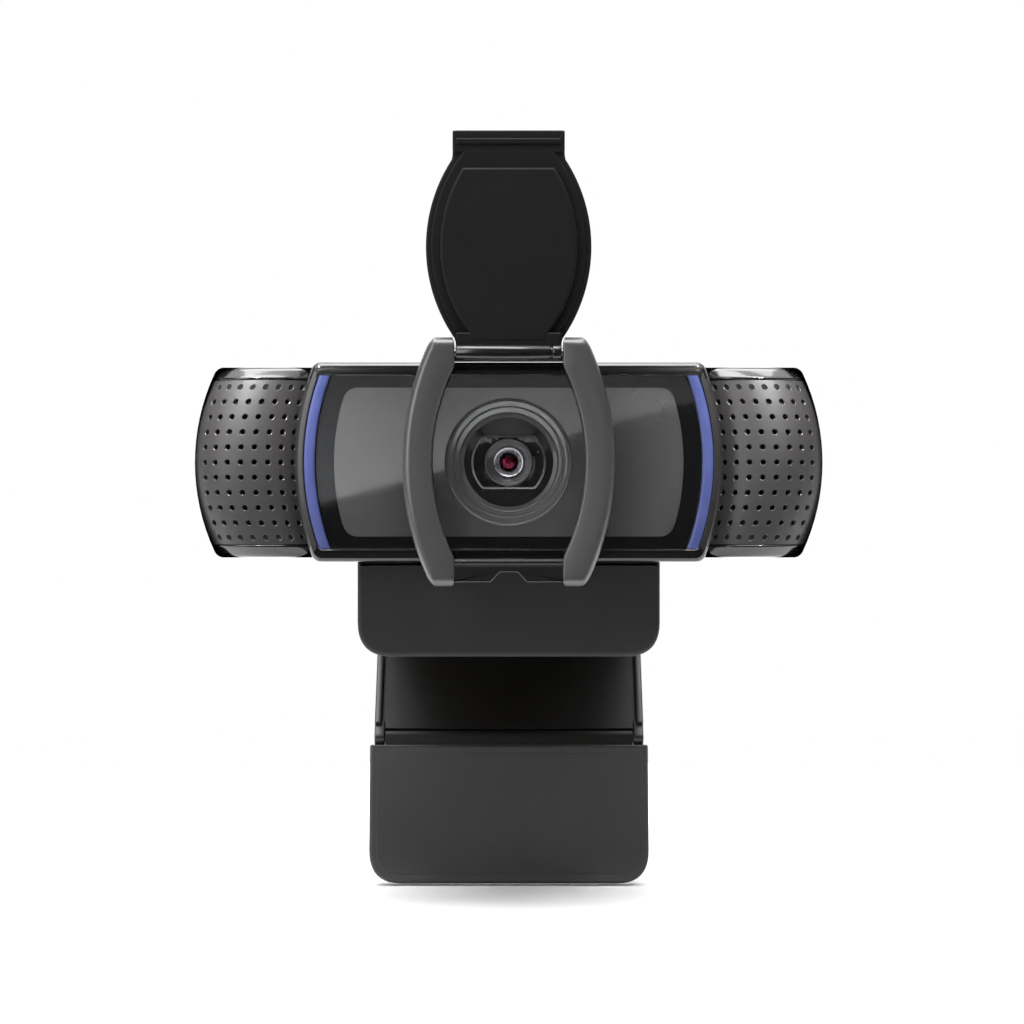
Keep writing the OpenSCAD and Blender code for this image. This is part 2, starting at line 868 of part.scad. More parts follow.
front_window();
front_frame();
inner_panel();
ring_trim();
lens_bezel();
lens_barrel();
front_lens();
rear_lens();
lens_retainer();
focus_coil();
focus_housing();
focus_magnets();
focus_springs();
sensor_holder();
infrared_filter();
image_sensor();
main_board();
shield_can();
processor_chip();
memory_chip();
cable_connector();
light_strip_left();
light_strip_right();
lamp_left();
lamp_right();
grille_left();
grille_right();
acoustic_cloth_left();
acoustic_cloth_right();
microphone_left();
microphone_right();
microphone_boot_left();
microphone_boot_right();
rear_shell();
case_screws();
cable_grommet();
shutter_frame();
shutter_pin();
shutter_flap();
tilt_bracket();
tilt_pin();
friction_washers();
clip_plate();
plate_pad();
lip_pad();
leg_pin();
leg();
tripod_insert();
foot_pin();
foot();
foot_pad();
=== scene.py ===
"""Visual model of the clip-on webcam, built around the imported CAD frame."""
import json
import math

import bmesh
import bpy
from mathutils import Matrix, Vector


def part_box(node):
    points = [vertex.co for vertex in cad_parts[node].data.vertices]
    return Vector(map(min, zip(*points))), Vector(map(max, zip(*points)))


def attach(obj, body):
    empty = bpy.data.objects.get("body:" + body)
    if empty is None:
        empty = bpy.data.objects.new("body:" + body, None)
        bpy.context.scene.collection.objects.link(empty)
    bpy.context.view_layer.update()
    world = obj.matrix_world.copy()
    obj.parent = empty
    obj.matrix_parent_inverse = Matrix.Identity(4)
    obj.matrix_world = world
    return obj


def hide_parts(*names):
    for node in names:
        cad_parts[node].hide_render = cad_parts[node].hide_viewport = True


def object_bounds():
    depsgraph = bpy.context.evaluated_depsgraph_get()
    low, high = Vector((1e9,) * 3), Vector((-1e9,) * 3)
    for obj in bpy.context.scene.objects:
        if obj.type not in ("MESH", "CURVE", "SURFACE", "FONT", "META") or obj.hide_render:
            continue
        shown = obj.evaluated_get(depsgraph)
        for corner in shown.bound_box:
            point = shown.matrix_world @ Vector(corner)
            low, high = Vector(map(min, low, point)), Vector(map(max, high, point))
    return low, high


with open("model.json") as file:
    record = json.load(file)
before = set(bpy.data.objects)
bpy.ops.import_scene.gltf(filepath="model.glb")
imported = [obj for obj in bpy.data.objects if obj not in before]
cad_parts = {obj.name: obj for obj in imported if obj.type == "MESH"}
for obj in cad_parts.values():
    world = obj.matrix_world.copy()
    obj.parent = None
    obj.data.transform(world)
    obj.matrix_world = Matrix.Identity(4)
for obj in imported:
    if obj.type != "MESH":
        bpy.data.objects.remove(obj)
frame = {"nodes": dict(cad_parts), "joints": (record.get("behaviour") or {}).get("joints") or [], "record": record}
CAD_BOX = [list(map(float, corner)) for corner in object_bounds()]

MM = 0.001


# ---------- places, all from the frame ----------

def span(node, axis):
    """Lowest and highest coordinate of a CAD node along an axis, in millimetres."""
    low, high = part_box(node)
    return low[axis] / MM, high[axis] / MM


WINDOW_Y = span("front_window", 1)[0]
LENS_Z = sum(span("front_window", 2)) / 2
BODY_HALF_H = (span("front_frame", 2)[1] - span("front_frame", 2)[0]) / 2
BODY_HALF_W = span("rear_shell", 0)[1]
ARM_Y = span("shutter_frame", 1)[0]
PLATE_Y = span("clip_plate", 1)
PLATE_TOP = LENS_Z - 15
PLATE_UNDER = span("plate_pad", 2)[1]
LIP_Z = span("clip_plate", 2)[0]
CLIP_HALF_W = span("clip_plate", 0)[1]
JOINTS = {joint["name"]: joint for joint in frame["joints"]}


def joint_point(name):
    """A hinge's point at rest, in millimetres."""
    return Vector(JOINTS[name]["pos_m"]) / MM


# ---------- mesh helpers, in millimetres ----------

def place_in_scene(name, data):
    """A new object in the scene, made from its mesh, camera or light."""
    thing = bpy.data.objects.new(name, data)
    bpy.context.scene.collection.objects.link(thing)
    return thing


def new_piece(name, verts, faces, body, slot, material, smooth=True, angle=35, place=None,
              flat_caps=True):
    """A mesh piece from millimetre coordinates, riding on a body."""
    mesh = bpy.data.meshes.new(name)
    mesh.from_pydata([Vector(v) * MM for v in verts], [], faces)
    mesh.validate()
    shape = bmesh.new()
    shape.from_mesh(mesh)
    bmesh.ops.remove_doubles(shape, verts=shape.verts, dist=1e-7)
    bmesh.ops.recalc_face_normals(shape, faces=shape.faces)
    shape.to_mesh(mesh)
    shape.free()
    if place is not None:
        mesh.transform(place)
    mesh.materials.append(material)
    piece = place_in_scene(name, mesh)
    for face in mesh.polygons:
        face.use_smooth = smooth and not (flat_caps and len(face.vertices) > 4)
    if smooth:
        split_sharp_edges(mesh, math.radians(angle))
    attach(piece, body)
    return piece


def split_sharp_edges(mesh, angle):
    """Marks the edges that meet at more than an angle as sharp."""
    shape = bmesh.new()
    shape.from_mesh(mesh)
    for edge in shape.edges:
        if len(edge.link_faces) == 2:
            edge.smooth = edge.calc_face_angle(0) < angle
    shape.to_mesh(mesh)
    shape.free()


def loft(loops, closed=True, cap_first=True, cap_last=True):
    """Vertices and faces of a skin through loops of equal length."""
    count = len(loops[0])
    verts = [p for loop in loops for p in loop]
    faces = []
    last = count if closed else count - 1
    for row in range(len(loops) - 1):
        for i in range(last):
            j = (i + 1) % count
            a = row * count
            b = a + count
            faces.append((a + i, a + j, b + j, b + i))
    if cap_first:
        faces.append(tuple(reversed(range(count))))
    if cap_last:
        start = (len(loops) - 1) * count
        faces.append(tuple(range(start, start + count)))
    return verts, faces


def skin(loops, closed=True):
    """A loft that is left open at both ends."""
    return loft(loops, closed, False, False)


def join_parts(*parts):
    """One vertex and face list out of several."""
    verts, faces = [], []
    for part_verts, part_faces in parts:
        start = len(verts)
        verts += part_verts
        faces += [tuple(i + start for i in face) for face in part_faces]
    return verts, faces


def mirrored(part):
    """The part mirrored in X."""
    verts, faces = part
    return [(-x, y, z) for x, y, z in verts], [tuple(reversed(f)) for f in faces]


def both_sides(part):
    """The left part and its mirror image, with the names of their sides."""
    return ("left", part), ("right", mirrored(part))


def inset_loop(points, distance):
    """A counter-clockwise outline of (x, z) moved inwards by a distance."""
    moved = []
    count = len(points)
    for i in range(count):
        before, here, after = points[i - 1], points[i], points[(i + 1) % count]
        e0 = Vector((here[0] - before[0], here[1] - before[1])).normalized()
        e1 = Vector((after[0] - here[0], after[1] - here[1])).normalized()
        n0, n1 = Vector((-e0[1], e0[0])), Vector((-e1[1], e1[0]))
        middle = n0 + n1
        middle = middle.normalized() if middle.length > 1e-6 else n0
        scale = distance / max(middle.dot(n0), 0.5)
        moved.append((here[0] + middle[0] * scale, here[1] + middle[1] * scale))
    return moved


def slab(outline, y0, y1, front_r=0.4, back_r=0.3, steps=5):
    """An outline in X and Z made thick along Y, its front and back edges rounded."""
    loops = []
    for k in range(steps + 1):
        a = math.pi / 2 * k / steps
        ring = inset_loop(outline, front_r * (1 - math.sin(a)))
        loops.append([(x, y0 + front_r * (1 - math.cos(a)), z) for x, z in ring])
    for k in range(steps + 1):
        a = math.pi / 2 * k / steps
        ring = inset_loop(outline, back_r * (1 - math.cos(a)))
        loops.append([(x, y1 - back_r * (1 - math.sin(a)), z) for x, z in ring])
    return loft(loops)


def rounded(points, radii, steps=6):
    """A counter-clockwise polygon with its corners rounded."""
    out = []
    count = len(points)
    for i in range(count):
        p = Vector(points[i])
        r = radii[i] if isinstance(radii, (list, tuple)) else radii
        if r <= 0:
            out.append(tuple(p))
            continue
        d0 = (Vector(points[i - 1]) - p).normalized()
        d1 = (Vector(points[(i + 1) % count]) - p).normalized()
        half = math.acos(max(-1, min(1, d0.dot(d1)))) / 2
        if half > math.radians(88):
            out.append(tuple(p))
            continue
        reach = r / math.tan(half)
        start, end = p + d0 * reach, p + d1 * reach
        for k in range(steps + 1):
            t = k / steps
            out.append(tuple(start * (1 - t) ** 2 + p * 2 * t * (1 - t) + end * t ** 2))
    return out


def side_cuts(half_z, corner, steps=24, corner_steps=6):
    """Heights up one side, each with how far a rounded corner cuts in there."""
    lower = []
    for k in range(corner_steps):
        turn = math.pi / 2 * k / corner_steps
        lower.append((corner - half_z - corner * math.cos(turn), corner * (1 - math.sin(turn))))
    middle = [((half_z - corner) * (2 * i / steps - 1), 0) for i in range(steps + 1)]
    return lower + middle + [(-z, cut) for z, cut in reversed(lower)]


def lens_outline(arc_r, arc_x, half_z, corner=0.6):
    """The outline between two side arcs, counter-clockwise from the lower right."""
    side = [(math.sqrt(arc_r ** 2 - z ** 2) - arc_x - cut, z)
            for z, cut in side_cuts(half_z, corner)]
    return [(x, z + LENS_Z) for x, z in side + [(-x, -z) for x, z in side]]


def lathe(profile, centre=(0, 0), steps=64, caps=False):
    """A profile of (radius, y) turned about a line along Y through (x, z)."""
    cx, cz = centre
    loops = [
        [(cx + r * math.cos(2 * math.pi * i / steps), y,
          cz + r * math.sin(2 * math.pi * i / steps)) for i in range(steps)]
        for r, y in profile
    ]
    return loft(loops, cap_first=caps, cap_last=caps)


def bar_x(profile, y, z, steps=32):
    """A profile of (x, radius) turned about a line along X through (y, z), closed."""
    verts, faces = lathe([(r, x) for x, r in profile], (y, z), steps, caps=True)
    return [(x, v, w) for v, x, w in verts], faces


def rectangle(u0, v0, u1, v1, radii, steps=6):
    """A rectangle with rounded corners, counter-clockwise from its lowest corner."""
    return rounded([(u0, v0), (u1, v0), (u1, v1), (u0, v1)], radii, steps)


def block(low, high, bevel=0.2):
    """A box with bevelled edges, along Y."""
    outline = rectangle(low[0], low[2], high[0], high[2], bevel, 4)
    return slab(outline, low[1], high[1], bevel, bevel, 3)


def flat_slab(outline, top, bottom, top_r=0.4, bottom_r=0.4, steps=5):
    """An outline in X and Y made thick along Z, drawn flat."""
    verts, faces = slab(outline, -top, -bottom, top_r, bottom_r, steps)
    return [(x, v, -t) for x, t, v in verts], faces


def extrude_x(outline, x0, x1, bevel=0.3, steps=4):
    """An outline in Y and Z made thick along X, its ends rounded."""
    verts, faces = slab(outline, x0, x1, bevel, bevel, steps)
    return [(y, x, z) for x, y, z in verts], faces


# ---------- materials ----------

def srgb(r, g, b):
    """Linear colour from 8-bit sRGB."""
    def linear(c):
        c /= 255
        return c / 12.92 if c <= 0.04045 else ((c + 0.055) / 1.055) ** 2.4
    return (linear(r), linear(g), linear(b), 1)


def toned(colour, factor):
    """A colour made darker or lighter by a factor."""
    return tuple(min(1, c * factor) for c in colour[:3]) + (1,)


class Nodes:
    """A material's node tree, with short calls to add and link nodes."""

    def __init__(self, name):
        self.material = bpy.data.materials.new(name)
        self.material.use_nodes = True
        self.tree = self.material.node_tree
        self.shader = self.tree.nodes["Principled BSDF"]

    def add(self, kind, **inputs):
        node = self.tree.nodes.new(kind)
        for key, value in inputs.items():
            node.inputs[key].default_value = value
        return node

    def fix(self, **inputs):
        """Gives the shader's inputs fixed values, with _ for each space in a name."""
        for key, value in inputs.items():
            self.shader.inputs[key.replace("_", " ")].default_value = value

    def link(self, source, target):
        self.tree.links.new(source, target)

    def noise(self, scale, detail=3, coords=None):
        """Noise in object space; scale is in features per metre."""
        coords = coords or self.coords()
        node = self.add("ShaderNodeTexNoise", Scale=scale, Detail=detail)
        self.link(coords, node.inputs["Vector"])
        return node.outputs["Fac"]

    def coords(self):
        return self.add("ShaderNodeTexCoord").outputs["Object"]

    def spread(self, fac, low, high, start=0.3, end=0.7):
        """Maps a factor to a range of values."""
        limits = {"From Min": start, "From Max": end, "To Min": low, "To Max": high}
        node = self.add("ShaderNodeMapRange", **limits)
        self.link(fac, node.inputs["Value"])
        return node.outputs["Result"]

    def mix(self, fac, first, second):
        """Blends two colours by a factor."""
        node = self.add("ShaderNodeMix")
        node.data_type = "RGBA"
        node.inputs[6].default_value = first
        node.inputs[7].default_value = second
        self.link(fac, node.inputs[0])
        return node.outputs[2]

    def bump(self, height, strength, distance):
        node = self.add("ShaderNodeBump", Strength=strength, Distance=distance)
        self.link(height, node.inputs["Height"])
        self.link(node.outputs["Normal"], self.shader.inputs["Normal"])


def plastic(name, colour, rough, grain=2600, grain_depth=0.00002, grain_strength=0.25,
            coat=0.0, specular=0.5, coat_ior=1.5, vary=0.08):
    """Moulded plastic: fine spark texture and an uneven sheen."""
    n = Nodes(name)
    coords = n.coords()
    tone = n.noise(60, 4, coords)
    shade = n.mix(n.spread(tone, 0, 1), toned(colour, 1 - vary), toned(colour, 1 + vary))
    n.link(shade, n.shader.inputs["Base Color"])
    smudge = n.noise(140, 5, coords)
    n.link(n.spread(smudge, rough * 0.94, min(1, rough * 1.06)), n.shader.inputs["Roughness"])
    n.bump(n.noise(grain, 2, coords), grain_strength, grain_depth)
    n.fix(Specular_IOR_Level=specular, Coat_Weight=coat, Coat_Roughness=0.03, Coat_IOR=coat_ior)
    return n.material


def metal(name, colour, rough, stretch=1.0):
    """Turned or plated metal with fine brushing."""
    n = Nodes(name)
    coords = n.coords()
    mapping = n.add("ShaderNodeMapping")
    mapping.inputs["Scale"].default_value = (stretch, 1, 1)
    n.link(coords, mapping.inputs["Vector"])
    lines = n.noise(3000, 4, mapping.outputs["Vector"])
    shade = n.mix(n.spread(lines, 0, 1), toned(colour, 0.8), colour)
    n.link(shade, n.shader.inputs["Base Color"])
    n.link(n.spread(lines, rough * 0.8, rough * 1.25), n.shader.inputs["Roughness"])
    n.fix(Metallic=1)
    n.bump(lines, 0.15, 0.00001)
    return n.material


def clear(name, tint, rough, ior=1.49, mirror=1.0):
    """Clear moulded plastic or coated glass, with faint smears."""
    n = Nodes(name)
    n.fix(Specular_Tint=(mirror, mirror, mirror, 1), Base_Color=tint, Transmission_Weight=1,
          IOR=ior)
    smear = n.noise(90, 5)
    n.link(n.spread(smear, rough, rough + 0.02), n.shader.inputs["Roughness"])
    return n.material


def painted_glow(name, colour, strength, rough=0.45):
    """A translucent strip with a painted glow: it gives off a faint light of its own, with no lamp lit behind it;
    slightly uneven in tone.
    """
    n = Nodes(name)
    tone = n.noise(400, 3)
    shade = n.mix(n.spread(tone, 0, 1), toned(colour, 0.93), colour)
    n.link(shade, n.shader.inputs["Base Color"])
    n.link(shade, n.shader.inputs["Emission Color"])
    n.fix(Emission_Strength=strength)
    n.link(n.spread(tone, rough * 0.8, rough * 1.2), n.shader.inputs["Roughness"])
    n.bump(n.noise(1500, 2), 0.05, 0.000005)
    return n.material


def woven(name, colour):
    """Fine woven mesh."""
    n = Nodes(name)
    coords = n.coords()
    waves = []
    for axis in ("X", "Z"):
        wave = n.add("ShaderNodeTexWave", Scale=900)
        wave.bands_direction = axis
        n.link(coords, wave.inputs["Vector"])
        waves.append(wave.outputs["Fac"])
    both = n.add("ShaderNodeMath")
    both.operation = "MULTIPLY"
    n.link(waves[0], both.inputs[0])
    n.link(waves[1], both.inputs[1])
    shade = n.mix(both.outputs[0], toned(colour, 0.4), colour)
    n.link(shade, n.shader.inputs["Base Color"])
    n.fix(Roughness=0.9)
    n.bump(both.outputs[0], 0.5, 0.00003)
    return n.material


GLOSS = plastic("gloss_black", srgb(11, 11, 12), 0.2, 500, 0.000003, 0.05, 0.6)
FRAME_GLOSS = plastic("frame_gloss", srgb(12, 12, 13), 0.22, 500, 0.000003, 0.05, 0.5)
PANEL = plastic("panel_grey", srgb(49, 48, 48), 0.6, 3000, 0.000005, 0.05, 1.0, 0.1, 1.9)
BORDER = plastic("border_black", srgb(6, 6, 7), 0.5, 3000, 0.000005, 0.05, 1.0, 0.0, 1.55)
RING = plastic("ring_grey", srgb(46, 45, 45), 0.4, 3000, 0.000005, 0.05, 1.0, 0.3, 1.75)
LENS_BLACK = plastic("lens_black", srgb(5, 5, 6), 0.45, 2500, 0.000005, 0.05, 1.0, 0.1, 1.55)
BARREL = plastic("barrel_black", srgb(34, 34, 35), 0.4, 2500, 0.000005, 0.1, 0.3, 0.6)
GRILLE = plastic("grille_grey", srgb(42, 40, 41), 0.48, 2600, 0.00001, 0.1, 0.0, 0.7)
RIM = plastic("rim_grey", srgb(32, 31, 31), 0.38, 2600, 0.00001, 0.15, 0.1)
ARM = plastic("arm_grey", srgb(55, 55, 56), 0.36, 2600, 0.000008, 0.12, 0.1, 1.0)
FLAP = plastic("flap_black", srgb(11, 11, 11), 0.6, 2600, 0.00001, 0.15, 0.0, 0.25)
FLAP_GLOSS = plastic("flap_gloss", srgb(13, 13, 14), 0.25, 900, 0.000005, 0.1, 0.4)
CLIP = plastic("clip_black", srgb(34, 32, 33), 0.6, 2600, 0.000012, 0.2, 0.0, 0.3)
# Painted shade: the leg's plastic is a near-black copy of the clip's, standing in for the shade under the plate;
# the foot knuckle shares it.
LEG_SHADED = plastic("leg_black", srgb(14, 12, 10), 0.5, 1600, 0.000006, 0.1, 0.0, 0.3)
RAIL = plastic("rail_grey", srgb(30, 29, 28), 0.4, 2600, 0.00001, 0.2)
# Painted light: the foot's plastic is a lighter copy of the clip's, standing in for the front light it catches.
FOOT_LIT = plastic("foot_grey", srgb(51, 49, 50), 0.55, 2600, 0.000012, 0.2)
PAD = plastic("pad_rubber", srgb(55, 53, 54), 0.7, 1800, 0.000015, 0.25, 0.0, 0.3)
RUBBER = plastic("rubber_black", srgb(22, 22, 22), 0.7, 1800, 0.00003, 0.35)
CHIP = plastic("chip_black", srgb(24, 24, 24), 0.6, 2600, 0.00002, 0.3)
CONNECTOR = plastic("connector_white", srgb(228, 222, 200), 0.45, 2600, 0.00001, 0.2)
BOARD = plastic("board_green", srgb(20, 92, 48), 0.3, 900, 0.00003, 0.3, 0.4)
SENSOR = plastic("sensor_silicon", srgb(70, 90, 84), 0.15, 900, 0.000004, 0.05, 0.5)
LAMP = plastic("lamp_white", srgb(235, 235, 220), 0.2, 900, 0.000004, 0.05, 0.5)
STEEL = metal("pin_steel", srgb(150, 150, 154), 0.38, 0.05)
CAN = metal("ring_metal", srgb(170, 170, 172), 0.38)
MAGNET = metal("magnet_steel", srgb(160, 160, 166), 0.35)
COPPER = metal("coil_copper", srgb(196, 118, 70), 0.35)
SPRING = metal("spring_brass", srgb(205, 172, 96), 0.32)
BRASS = metal("insert_brass", srgb(168, 134, 66), 0.38, 0.1)
MIC = metal("mic_metal", srgb(190, 190, 192), 0.35)
LENS_RING = metal("lens_ring_metal", srgb(205, 203, 205), 0.3)
COATED = metal("coated_element_red", srgb(112, 34, 50), 0.28)
CLOTH = woven("cloth_black", srgb(16, 16, 16))
WINDOW = clear("window_clear", (0.93, 0.94, 0.95, 1), 0.0, 1.3, 0.0)
LENS_GLASS = clear("lens_glass", (0.85, 0.82, 0.92, 1), 0.0, 1.4, 0.1)
# Painted glow: the blue strips emit a faint light of their own, with no lamp behind them.
BLUE = painted_glow("strip_blue", srgb(52, 61, 110), 0.07)

CAD_LOOKS = {
    "front_window": WINDOW, "inner_panel": PANEL, "ring_trim": RING,
    "lens_bezel": LENS_BLACK, "lens_barrel": LENS_BLACK, "sensor_holder": LENS_BLACK,
    "front_lens": LENS_GLASS, "rear_lens": LENS_GLASS, "infrared_filter": LENS_GLASS,
    "lens_retainer": CAN, "focus_housing": CAN, "shield_can": CAN,
    "focus_coil": COPPER, "focus_magnets": MAGNET, "focus_springs": SPRING,
    "friction_washers": SPRING, "image_sensor": SENSOR, "main_board": BOARD,
    "processor_chip": CHIP, "memory_chip": CHIP, "cable_connector": CONNECTOR,
    "lamp_left": LAMP, "lamp_right": LAMP,
    "acoustic_cloth_left": CLOTH, "acoustic_cloth_right": CLOTH,
    "microphone_left": MIC, "microphone_right": MIC,
    "microphone_boot_left": RUBBER, "microphone_boot_right": RUBBER,
    "cable_grommet": RUBBER, "case_screws": STEEL, "shutter_pin": STEEL,
    "tilt_pin": STEEL, "leg_pin": STEEL, "foot_pin": STEEL, "tripod_insert": BRASS,
    "tilt_bracket": CLIP, "clip_plate": CLIP, "plate_pad": PAD, "lip_pad": PAD,
    "foot_pad": PAD, "leg": LEG_SHADED, "foot": FOOT_LIT, "shutter_frame": ARM,
    "shutter_flap": FLAP, "front_frame": FRAME_GLOSS, "rear_shell": GLOSS,
    "grille_left": GRILLE, "grille_right": GRILLE,
    "light_strip_left": BLUE, "light_strip_right": BLUE,
}
for node_name, look in CAD_LOOKS.items():
    cad_mesh = frame["nodes"][node_name].data
    cad_mesh.materials.clear()
    cad_mesh.materials.append(look)


# ---------- camera body ----------

ARC_X = 7.5
WINDOW_ARC, STRIP_ARC, FRAME_ARC, PANEL_ARC = 36.6, 38.3, 39.7, 33.8
WINDOW_HALF_Z, PANEL_HALF_Z = 13.1, 11.25
PANEL_CORNER = 1.5
RINGS_R, LENS_WELL_R = 9.6, 6.7
WELL_D = 1.05
ON_AXIS = 0.0005


def depth(d):
    """A Y coordinate d millimetres behind the window's face."""
    return WINDOW_Y + d


def ring_loop(arc_r, half_z, d, corner=0.6):
    return [(x, depth(d), z) for x, z in lens_outline(arc_r, ARC_X, half_z, corner)]


def make_front_frame():
    """The gloss surround and the black border: outer wall, rounded edge, step to the window."""
    edge = [(0, 0, 5, 0.9), (0, 0, 1.3, 0.9), (0.06, 0.05, 0.9, 0.9), (0.35, 0.35, 0.5, 0.9),
            (0.5, 0.5, 0.36, 0.9), (0.6, 0.62, 0.31, 0.9), (0.78, 0.92, 0.29, 0.8),
            (0.86, 1.0, 0.24, 0.8)]
    step = [(0.12, 0.14, 0.16, 0.7), (0.04, 0.04, 0.22, 0.6), (0.03, 0.03, WELL_D, 0.6)]
    loops = [ring_loop(FRAME_ARC - side, BODY_HALF_H - end, d, corner)
             for side, end, d, corner in edge]
    loops += [ring_loop(STRIP_ARC + side, WINDOW_HALF_Z + end, d, corner)
              for side, end, d, corner in step]
    piece = new_piece("bezel_surround", *skin(loops), "head", "gloss_black", FRAME_GLOSS)
    piece.data.materials.append(RIM)
    for face in piece.data.polygons:
        on_side = abs(face.center.z / MM - LENS_Z) < WINDOW_HALF_Z - 0.2
        if on_side and abs(face.normal.z) < 0.6:
            face.material_index = 1
    floor_loops = [ring_loop(STRIP_ARC + 0.1, WINDOW_HALF_Z + 0.1, WELL_D),
                   ring_loop(PANEL_ARC, PANEL_HALF_Z, WELL_D, PANEL_CORNER),
                   ring_loop(PANEL_ARC, PANEL_HALF_Z, 2.0, PANEL_CORNER)]
    new_piece("window_border", *skin(floor_loops), "head", "gloss_black", BORDER, smooth=False)
    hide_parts("front_frame")


def make_window():
    outline = lens_outline(WINDOW_ARC - 0.04, ARC_X, WINDOW_HALF_Z - 0.04, 0.5)
    piece = new_piece("clear_window", *slab(outline, depth(0), depth(0.98), 0.1, 0.05, 4),
                      "head", "window_clear", WINDOW, angle=12)
    piece.visible_shadow = False
    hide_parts("front_window")


def make_panel():
    """The grey sheet behind the window, with a round hole for the rings."""
    corners = lens_outline(PANEL_ARC - 0.05, ARC_X, PANEL_HALF_Z - 0.05, PANEL_CORNER)
    hole_r = RINGS_R + 0.05
    outer, hole = [], []
    for i, (x, z) in enumerate(corners):
        next_x, next_z = corners[(i + 1) % len(corners)]
        parts = max(1, round(math.hypot(next_x - x, next_z - z) / 1.2))
        for k in range(parts):
            outer.append((x + (next_x - x) * k / parts, z + (next_z - z) * k / parts))
    for x, z in outer:
        a = math.atan2(z - LENS_Z, x)
        hole.append((hole_r * math.cos(a), LENS_Z + hole_r * math.sin(a)))
    loops = [[(x, depth(d), z) for x, z in ring] for ring, d in
             ((outer, 1.8), (outer, 1.08), (hole, 1.08), (hole, 1.8))]
    piece = new_piece("grey_panel", *skin(loops), "head", "panel_grey", PANEL, smooth=False)
    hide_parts("inner_panel")


def make_rings():
    """Stepped ring trim with rounded lips, down to the dark well."""
    profile = [(RINGS_R + 0.02, depth(2.0)), (RINGS_R + 0.02, depth(1.15))]
    radius = RINGS_R
    for step, next_radius in enumerate((8.65, 7.7, LENS_WELL_R)):
        top = WELL_D + 0.32 * step
        profile += [
            (radius - 0.06, depth(top)), (radius - 0.22, depth(top - 0.02)),
            (radius - 0.32, depth(top + 0.1)), (radius - 0.4, depth(top + 0.22)),
            (next_radius + 0.02, depth(top + 0.26)),
        ]
        radius = next_radius
    profile += [(LENS_WELL_R, depth(2.1)), (LENS_WELL_R, depth(2.6))]
    piece = new_piece("stepped_rings", *lathe(profile, (0, LENS_Z), 96),
                      "head", "panel_grey", RING, angle=50)
    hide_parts("ring_trim")


def cut_circle(radius, flat, steps=96):
    """A circle with flat top and bottom, as (x, z) about the lens axis."""
    points = []
    for i in range(steps):
        a = 2 * math.pi * i / steps
        x, z = radius * math.cos(a), radius * math.sin(a)
        points.append((x, LENS_Z + max(-flat, min(flat, z))))
    return points


def dome(radius, front, degrees, steps=12):
    """A profile from the lens axis outwards over a ball whose front is at a depth."""
    profile = [(ON_AXIS, depth(front))]
    for k in range(1, steps + 1):
        a = math.radians(degrees) * k / steps
        profile.append((radius * math.sin(a), depth(front + radius * (1 - math.cos(a)))))
    return profile


def make_lens():
    """Surround with a flat-sided opening, barrel, retaining ring, glass, coated element."""
    circle = cut_circle(LENS_WELL_R, LENS_WELL_R)
    rings = [(circle, 4.0), (circle, 2.35), (cut_circle(5.75, 4.15), 2.3),
             (cut_circle(5.62, 4.02), 2.0), (cut_circle(5.45, 3.85), 1.95),
             (cut_circle(5.32, 3.72), 2.1), (cut_circle(5.3, 3.7), 3.6),
             (cut_circle(4.6, 3.7), 3.7), (cut_circle(3.63, 3.63), 3.75)]
    loops = [[(x, depth(d), z) for x, z in ring] for ring, d in rings]
    surround = new_piece("lens_surround", *skin(loops), "head", "lens_black", LENS_BLACK,
                         angle=40)
    surround.data.materials.append(RING)
    # Painted highlight: the lip round the flat-sided opening takes the lighter ring grey, standing in for the
    # light its chamfer catches.
    for face in surround.data.polygons:
        if abs(face.center.y / MM - depth(2.0)) < 0.13 and abs(face.normal.y) > 0.3:
            face.material_index = 1
    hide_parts("lens_bezel")
    barrel = [(3.6, depth(9.9)), (3.6, depth(2.6)), (3.55, depth(2.46)), (3.42, depth(2.42))]
    for groove in range(4):
        r, d = 3.32 - 0.25 * groove, 2.46 + 0.2 * groove
        barrel += [(r, depth(d)), (r - 0.19, depth(d + 0.15)), (r - 0.22, depth(d + 0.2))]
    barrel += [(2.3, depth(3.3)), (2.3, depth(9.9))]
    tube = new_piece("focus_barrel", *lathe(barrel, (0, LENS_Z), 72), "lens", "lens_black",
                     BARREL, angle=40)
    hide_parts("lens_barrel")
    lip = [(2.3, depth(3.4)), (2.3, depth(3.0)), (2.24, depth(2.86)), (2.14, depth(2.8)),
           (2.04, depth(2.84)), (1.98, depth(2.95)), (1.9, depth(3.1)), (1.45, depth(3.42)),
           (1.38, depth(3.6)), (2.0, depth(3.7))]
    ring = new_piece("retaining_ring", *lathe(lip + lip[:1], (0, LENS_Z), 72), "lens",
                     "ring_metal", LENS_RING, angle=50)
    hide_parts("lens_retainer")
    lens = dome(4.0, 2.9, 29) + [(1.94, depth(3.45)), (1.4, depth(3.5)), (ON_AXIS, depth(3.48))]
    glass = new_piece("front_glass", *lathe(lens, (0, LENS_Z), 64), "lens", "lens_glass",
                      LENS_GLASS, angle=40)
    glass.visible_shadow = False
    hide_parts("front_lens")
    pupil = dome(1.42, 3.52, 70) + [(1.32, depth(4.6)), (ON_AXIS, depth(4.6))]
    new_piece("coated_element", *lathe(pupil, (0, LENS_Z), 48), "lens", "lens_glass", COATED,
              angle=40)


